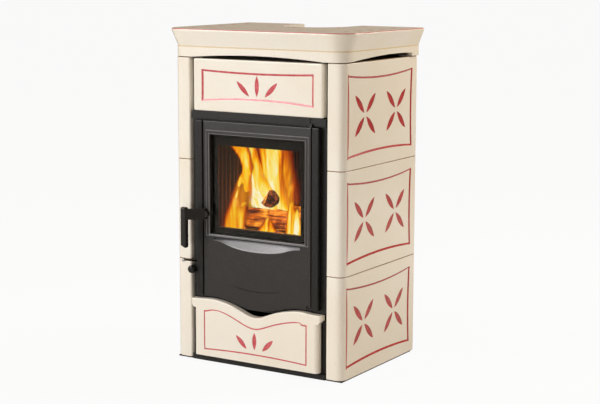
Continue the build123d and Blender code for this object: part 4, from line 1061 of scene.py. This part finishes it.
def joint_shade_and_dust(tree, place):
    """Painted shade and dust along the joints between the side tiles, on their top and bottom
    edges.
    """
    z = axes_of(tree, place)[2]
    height = maths(tree, "MODULO", maths(tree, "SUBTRACT", z, tile_foot), tile_pitch)
    foot = spread(tree, height, joint_gap, joint_reach, 0.9, 0.0)
    head = spread(tree, height, tile_pitch - joint_reach, tile_pitch - joint_gap, 0.0, 0.9)
    return maths(tree, "MAXIMUM", foot, head)


# The side tiles get painted shade and dust along their joints.
side_glaze = glaze("side_glaze", side_ornament, (red, deep_red), joint_shade_and_dust, joint_shade_brown)
for side in ("left", "right"):
    for row in ("lower", "middle", "upper"):
        dress(side_glaze, f"{side}_tile_{row}")
# The tiles to the front take the paler painted-light reds.
dress(glaze("front_glaze", front_ornament, (lit_red, lit_deep_red)), "top_tile")
dress(glaze("drawer_glaze", drawer_ornament, (lit_red, lit_deep_red)), "drawer_tile")

# ---- Crown -----------------------------------------------------------------------------
# One hollow casting in the same clay and glaze. A red line is painted along the top of its
# rim, the air slots are red inside, and the glaze pools ochre in the step over the upright
# band.

rim_half = 0.331
rim_front = 0.252
rim_corner = 0.068
rim_high = 1.054
slot_low = 1.037
slot_side = 0.300
slot_front = -0.215
slot_rear = 0.222
step_high = 0.998
honey = tone(222, 194, 138)
flue_y = 0.130
notch_reach = 0.120
line_from = 0.0036
line_to = 0.0008
step_half = 0.0016


def length(tree, a, b):
    """The long side of a right angle."""
    a_squared = maths(tree, "MULTIPLY", a, a)
    b_squared = maths(tree, "MULTIPLY", b, b)
    return maths(tree, "SQRT", maths(tree, "ADD", a_squared, b_squared))


def crown_paint(tree, place):
    """Where the crown is red: along the top of its rounded rim, and inside the slots."""
    x, y, z = axes_of(tree, place)
    reach_x = maths(tree, "SUBTRACT", maths(tree, "ABSOLUTE", x), rim_half - rim_corner)
    reach_y = maths(tree, "SUBTRACT", maths(tree, "MULTIPLY", y, -1.0), rim_front - rim_corner)
    past_x = maths(tree, "MAXIMUM", reach_x, 0.0)
    past_y = maths(tree, "MAXIMUM", reach_y, 0.0)
    corner = length(tree, past_x, past_y)
    straight = maths(tree, "MINIMUM", maths(tree, "MAXIMUM", reach_x, reach_y), 0.0)
    from_rim = maths(tree, "SUBTRACT", maths(tree, "ADD", corner, straight), rim_corner)
    at_rim = spread(tree, from_rim, -0.0040, -0.0034)
    near_top = inside(tree, z, rim_high - line_from, rim_high - line_to, 0.0004)
    line = maths(tree, "MULTIPLY", at_rim, near_top)
    before_flue = maths(tree, "MINIMUM", maths(tree, "SUBTRACT", y, flue_y), 0.0)
    from_flue = length(tree, x, before_flue)
    slots = product(
        tree,
        inside(tree, z, slot_low, rim_high - 0.0002),
        inside(tree, x, -slot_side, slot_side),
        spread(tree, from_flue, notch_reach, notch_reach + 0.001),
        inside(tree, y, slot_front, slot_rear),
    )
    return maths(tree, "MULTIPLY", maths(tree, "MAXIMUM", line, slots), 0.85)


def crown_step(tree, place):
    """The narrow step where the glaze gathers."""
    z = axes_of(tree, place)[2]
    at_step = inside(tree, z, step_high - step_half, step_high + step_half, 0.0006)
    return maths(tree, "MULTIPLY", at_step, 0.75)


crown_glaze = glaze("crown_glaze", crown_paint, (red, deep_red), crown_step, honey)
dress(crown_glaze, "crown")

# ---- Studio ----------------------------------------------------------------------------
# A pale floor that runs out of sight under a white sky. Two soft lamps stand on the left of
# the camera and a low strip in front, a warm lamp stands behind on the right, and a small
# orange one lights the chamber from the fire.

floor_half = 60.0
floor_grey = (0.62, 0.62, 0.62, 1.0)
floor_white = 0.94
sky_warm = (1.0, 0.8, 0.6, 1.0)
sky_level = 0.3
white = (1.0, 1.0, 1.0, 1.0)


def seen_ray(tree):
    """1 for what the camera sees straight or through the glass, 0 for light on the stove."""
    ray = tree.nodes.new("ShaderNodeLightPath").outputs
    return maths(tree, "MAXIMUM", ray["Is Camera Ray"], ray["Is Transmission Ray"])


def studio_finish(name, colour, brightness):
    """Matt grey that looks nearly white to the camera and keeps a soft shadow."""
    finish = bpy.data.materials.new(name)
    finish.use_nodes = True
    tree = finish.node_tree
    shader = tree.nodes["Principled BSDF"]
    shader.inputs["Base Color"].default_value = colour
    shader.inputs["Roughness"].default_value = 0.9
    shader.inputs["Specular IOR Level"].default_value = 0.1
    glow = tree.nodes.new("ShaderNodeEmission")
    glow.inputs["Strength"].default_value = 1.0
    glow.inputs["Color"].default_value = white
    mix = tree.nodes.new("ShaderNodeMixShader")
    feed(tree, mix.inputs[0], maths(tree, "MULTIPLY", seen_ray(tree), brightness))
    tree.links.new(shader.outputs[0], mix.inputs[1])
    tree.links.new(glow.outputs[0], mix.inputs[2])
    tree.links.new(mix.outputs[0], tree.nodes["Material Output"].inputs["Surface"])
    return finish


floor_corners = [
    (-floor_half, -floor_half, 0),
    (floor_half, -floor_half, 0),
    (floor_half, floor_half, 0),
    (-floor_half, floor_half, 0),
]
floor_skin = studio_finish("studio_floor", floor_grey, floor_white)
floor = mesh_piece("floor", floor_corners, [(0, 1, 2, 3)], floor_skin)

world = bpy.data.worlds.new("studio")
bpy.context.scene.world = world
world.use_nodes = True
tree = world.node_tree
ambient = tree.nodes["Background"]
ray = seen_ray(tree)
feed(tree, ambient.inputs["Color"], blend(tree, ray, sky_warm, white))
extra = maths(tree, "MULTIPLY", ray, 1.0 - sky_level)
feed(tree, ambient.inputs["Strength"], maths(tree, "ADD", extra, sky_level))


def soft_lamp(name, place, aim, size, power, colour):
    """A flat rectangular lamp turned to a point."""
    lamp = bpy.data.lights.new(name, "AREA")
    lamp.shape = "RECTANGLE"
    lamp.size, lamp.size_y = size
    lamp.energy = power
    lamp.color = colour
    holder = bpy.data.objects.new(name, lamp)
    bpy.context.scene.collection.objects.link(holder)
    holder.location = place
    holder.rotation_euler = (Vector(aim) - Vector(place)).to_track_quat("-Z", "Y").to_euler()
    return holder


soft_lamp(
    "key_lamp",
    place=(-3.4, -4.2, 4.2),
    aim=(0, 0, 0.4),
    size=(3.0, 2.4),
    power=152.0,
    colour=(1.0, 0.99, 0.98),
)
soft_lamp(
    "low_lamp",
    place=(-2.2, -3.4, 1.7),
    aim=(0, -0.2, 0.4),
    size=(1.6, 0.9),
    power=36.0,
    colour=(0.97, 0.98, 1.0),
)
fill = soft_lamp(
    "fill_lamp",
    place=(0.4, -3.2, 0.3),
    aim=(0, -0.2, 0.2),
    size=(2.0, 0.5),
    power=21.0,
    colour=(0.98, 0.99, 1.0),
)
fill.visible_glossy = False
soft_lamp(
    "side_lamp",
    place=(1.9, 1.9, 2.3),
    aim=(0.3, 0, 0.4),
    size=(1.6, 1.6),
    power=70.0,
    colour=(1.0, 0.93, 0.83),
)
fire = bpy.data.lights.new("fire_glow", "POINT")
fire.energy = 5.0
fire.color = (1.0, 0.45, 0.14)
fire.shadow_soft_size = 0.06
fire_holder = bpy.data.objects.new("fire_glow", fire)
bpy.context.scene.collection.objects.link(fire_holder)
fire_holder.location = (-0.03, -0.10, 0.62)
fire_holder.visible_camera = False
fire_holder.visible_transmission = False
fire_holder.visible_glossy = False

# The camera stands in front and to the right, a little above the stove.
camera_place = (2.5082, -4.0373, 1.2689)
camera_turn = math.radians(31.697)
camera_pitch = math.radians(9.186)
camera_roll = math.radians(0.158)
lens = bpy.data.cameras.new("camera")
lens.lens = 90.63
lens.sensor_width = 36.0
camera = bpy.data.objects.new("camera", lens)
bpy.context.scene.collection.objects.link(camera)
turn = Matrix.Rotation(camera_turn, 4, "Z")
tilt = Matrix.Rotation(math.radians(90) - camera_pitch, 4, "X")
roll = Matrix.Rotation(camera_roll, 4, "Z")
camera.matrix_world = Matrix.Translation(camera_place) @ turn @ tilt @ roll
bpy.context.scene.camera = camera
bpy.context.scene.view_settings.view_transform = "Standard"
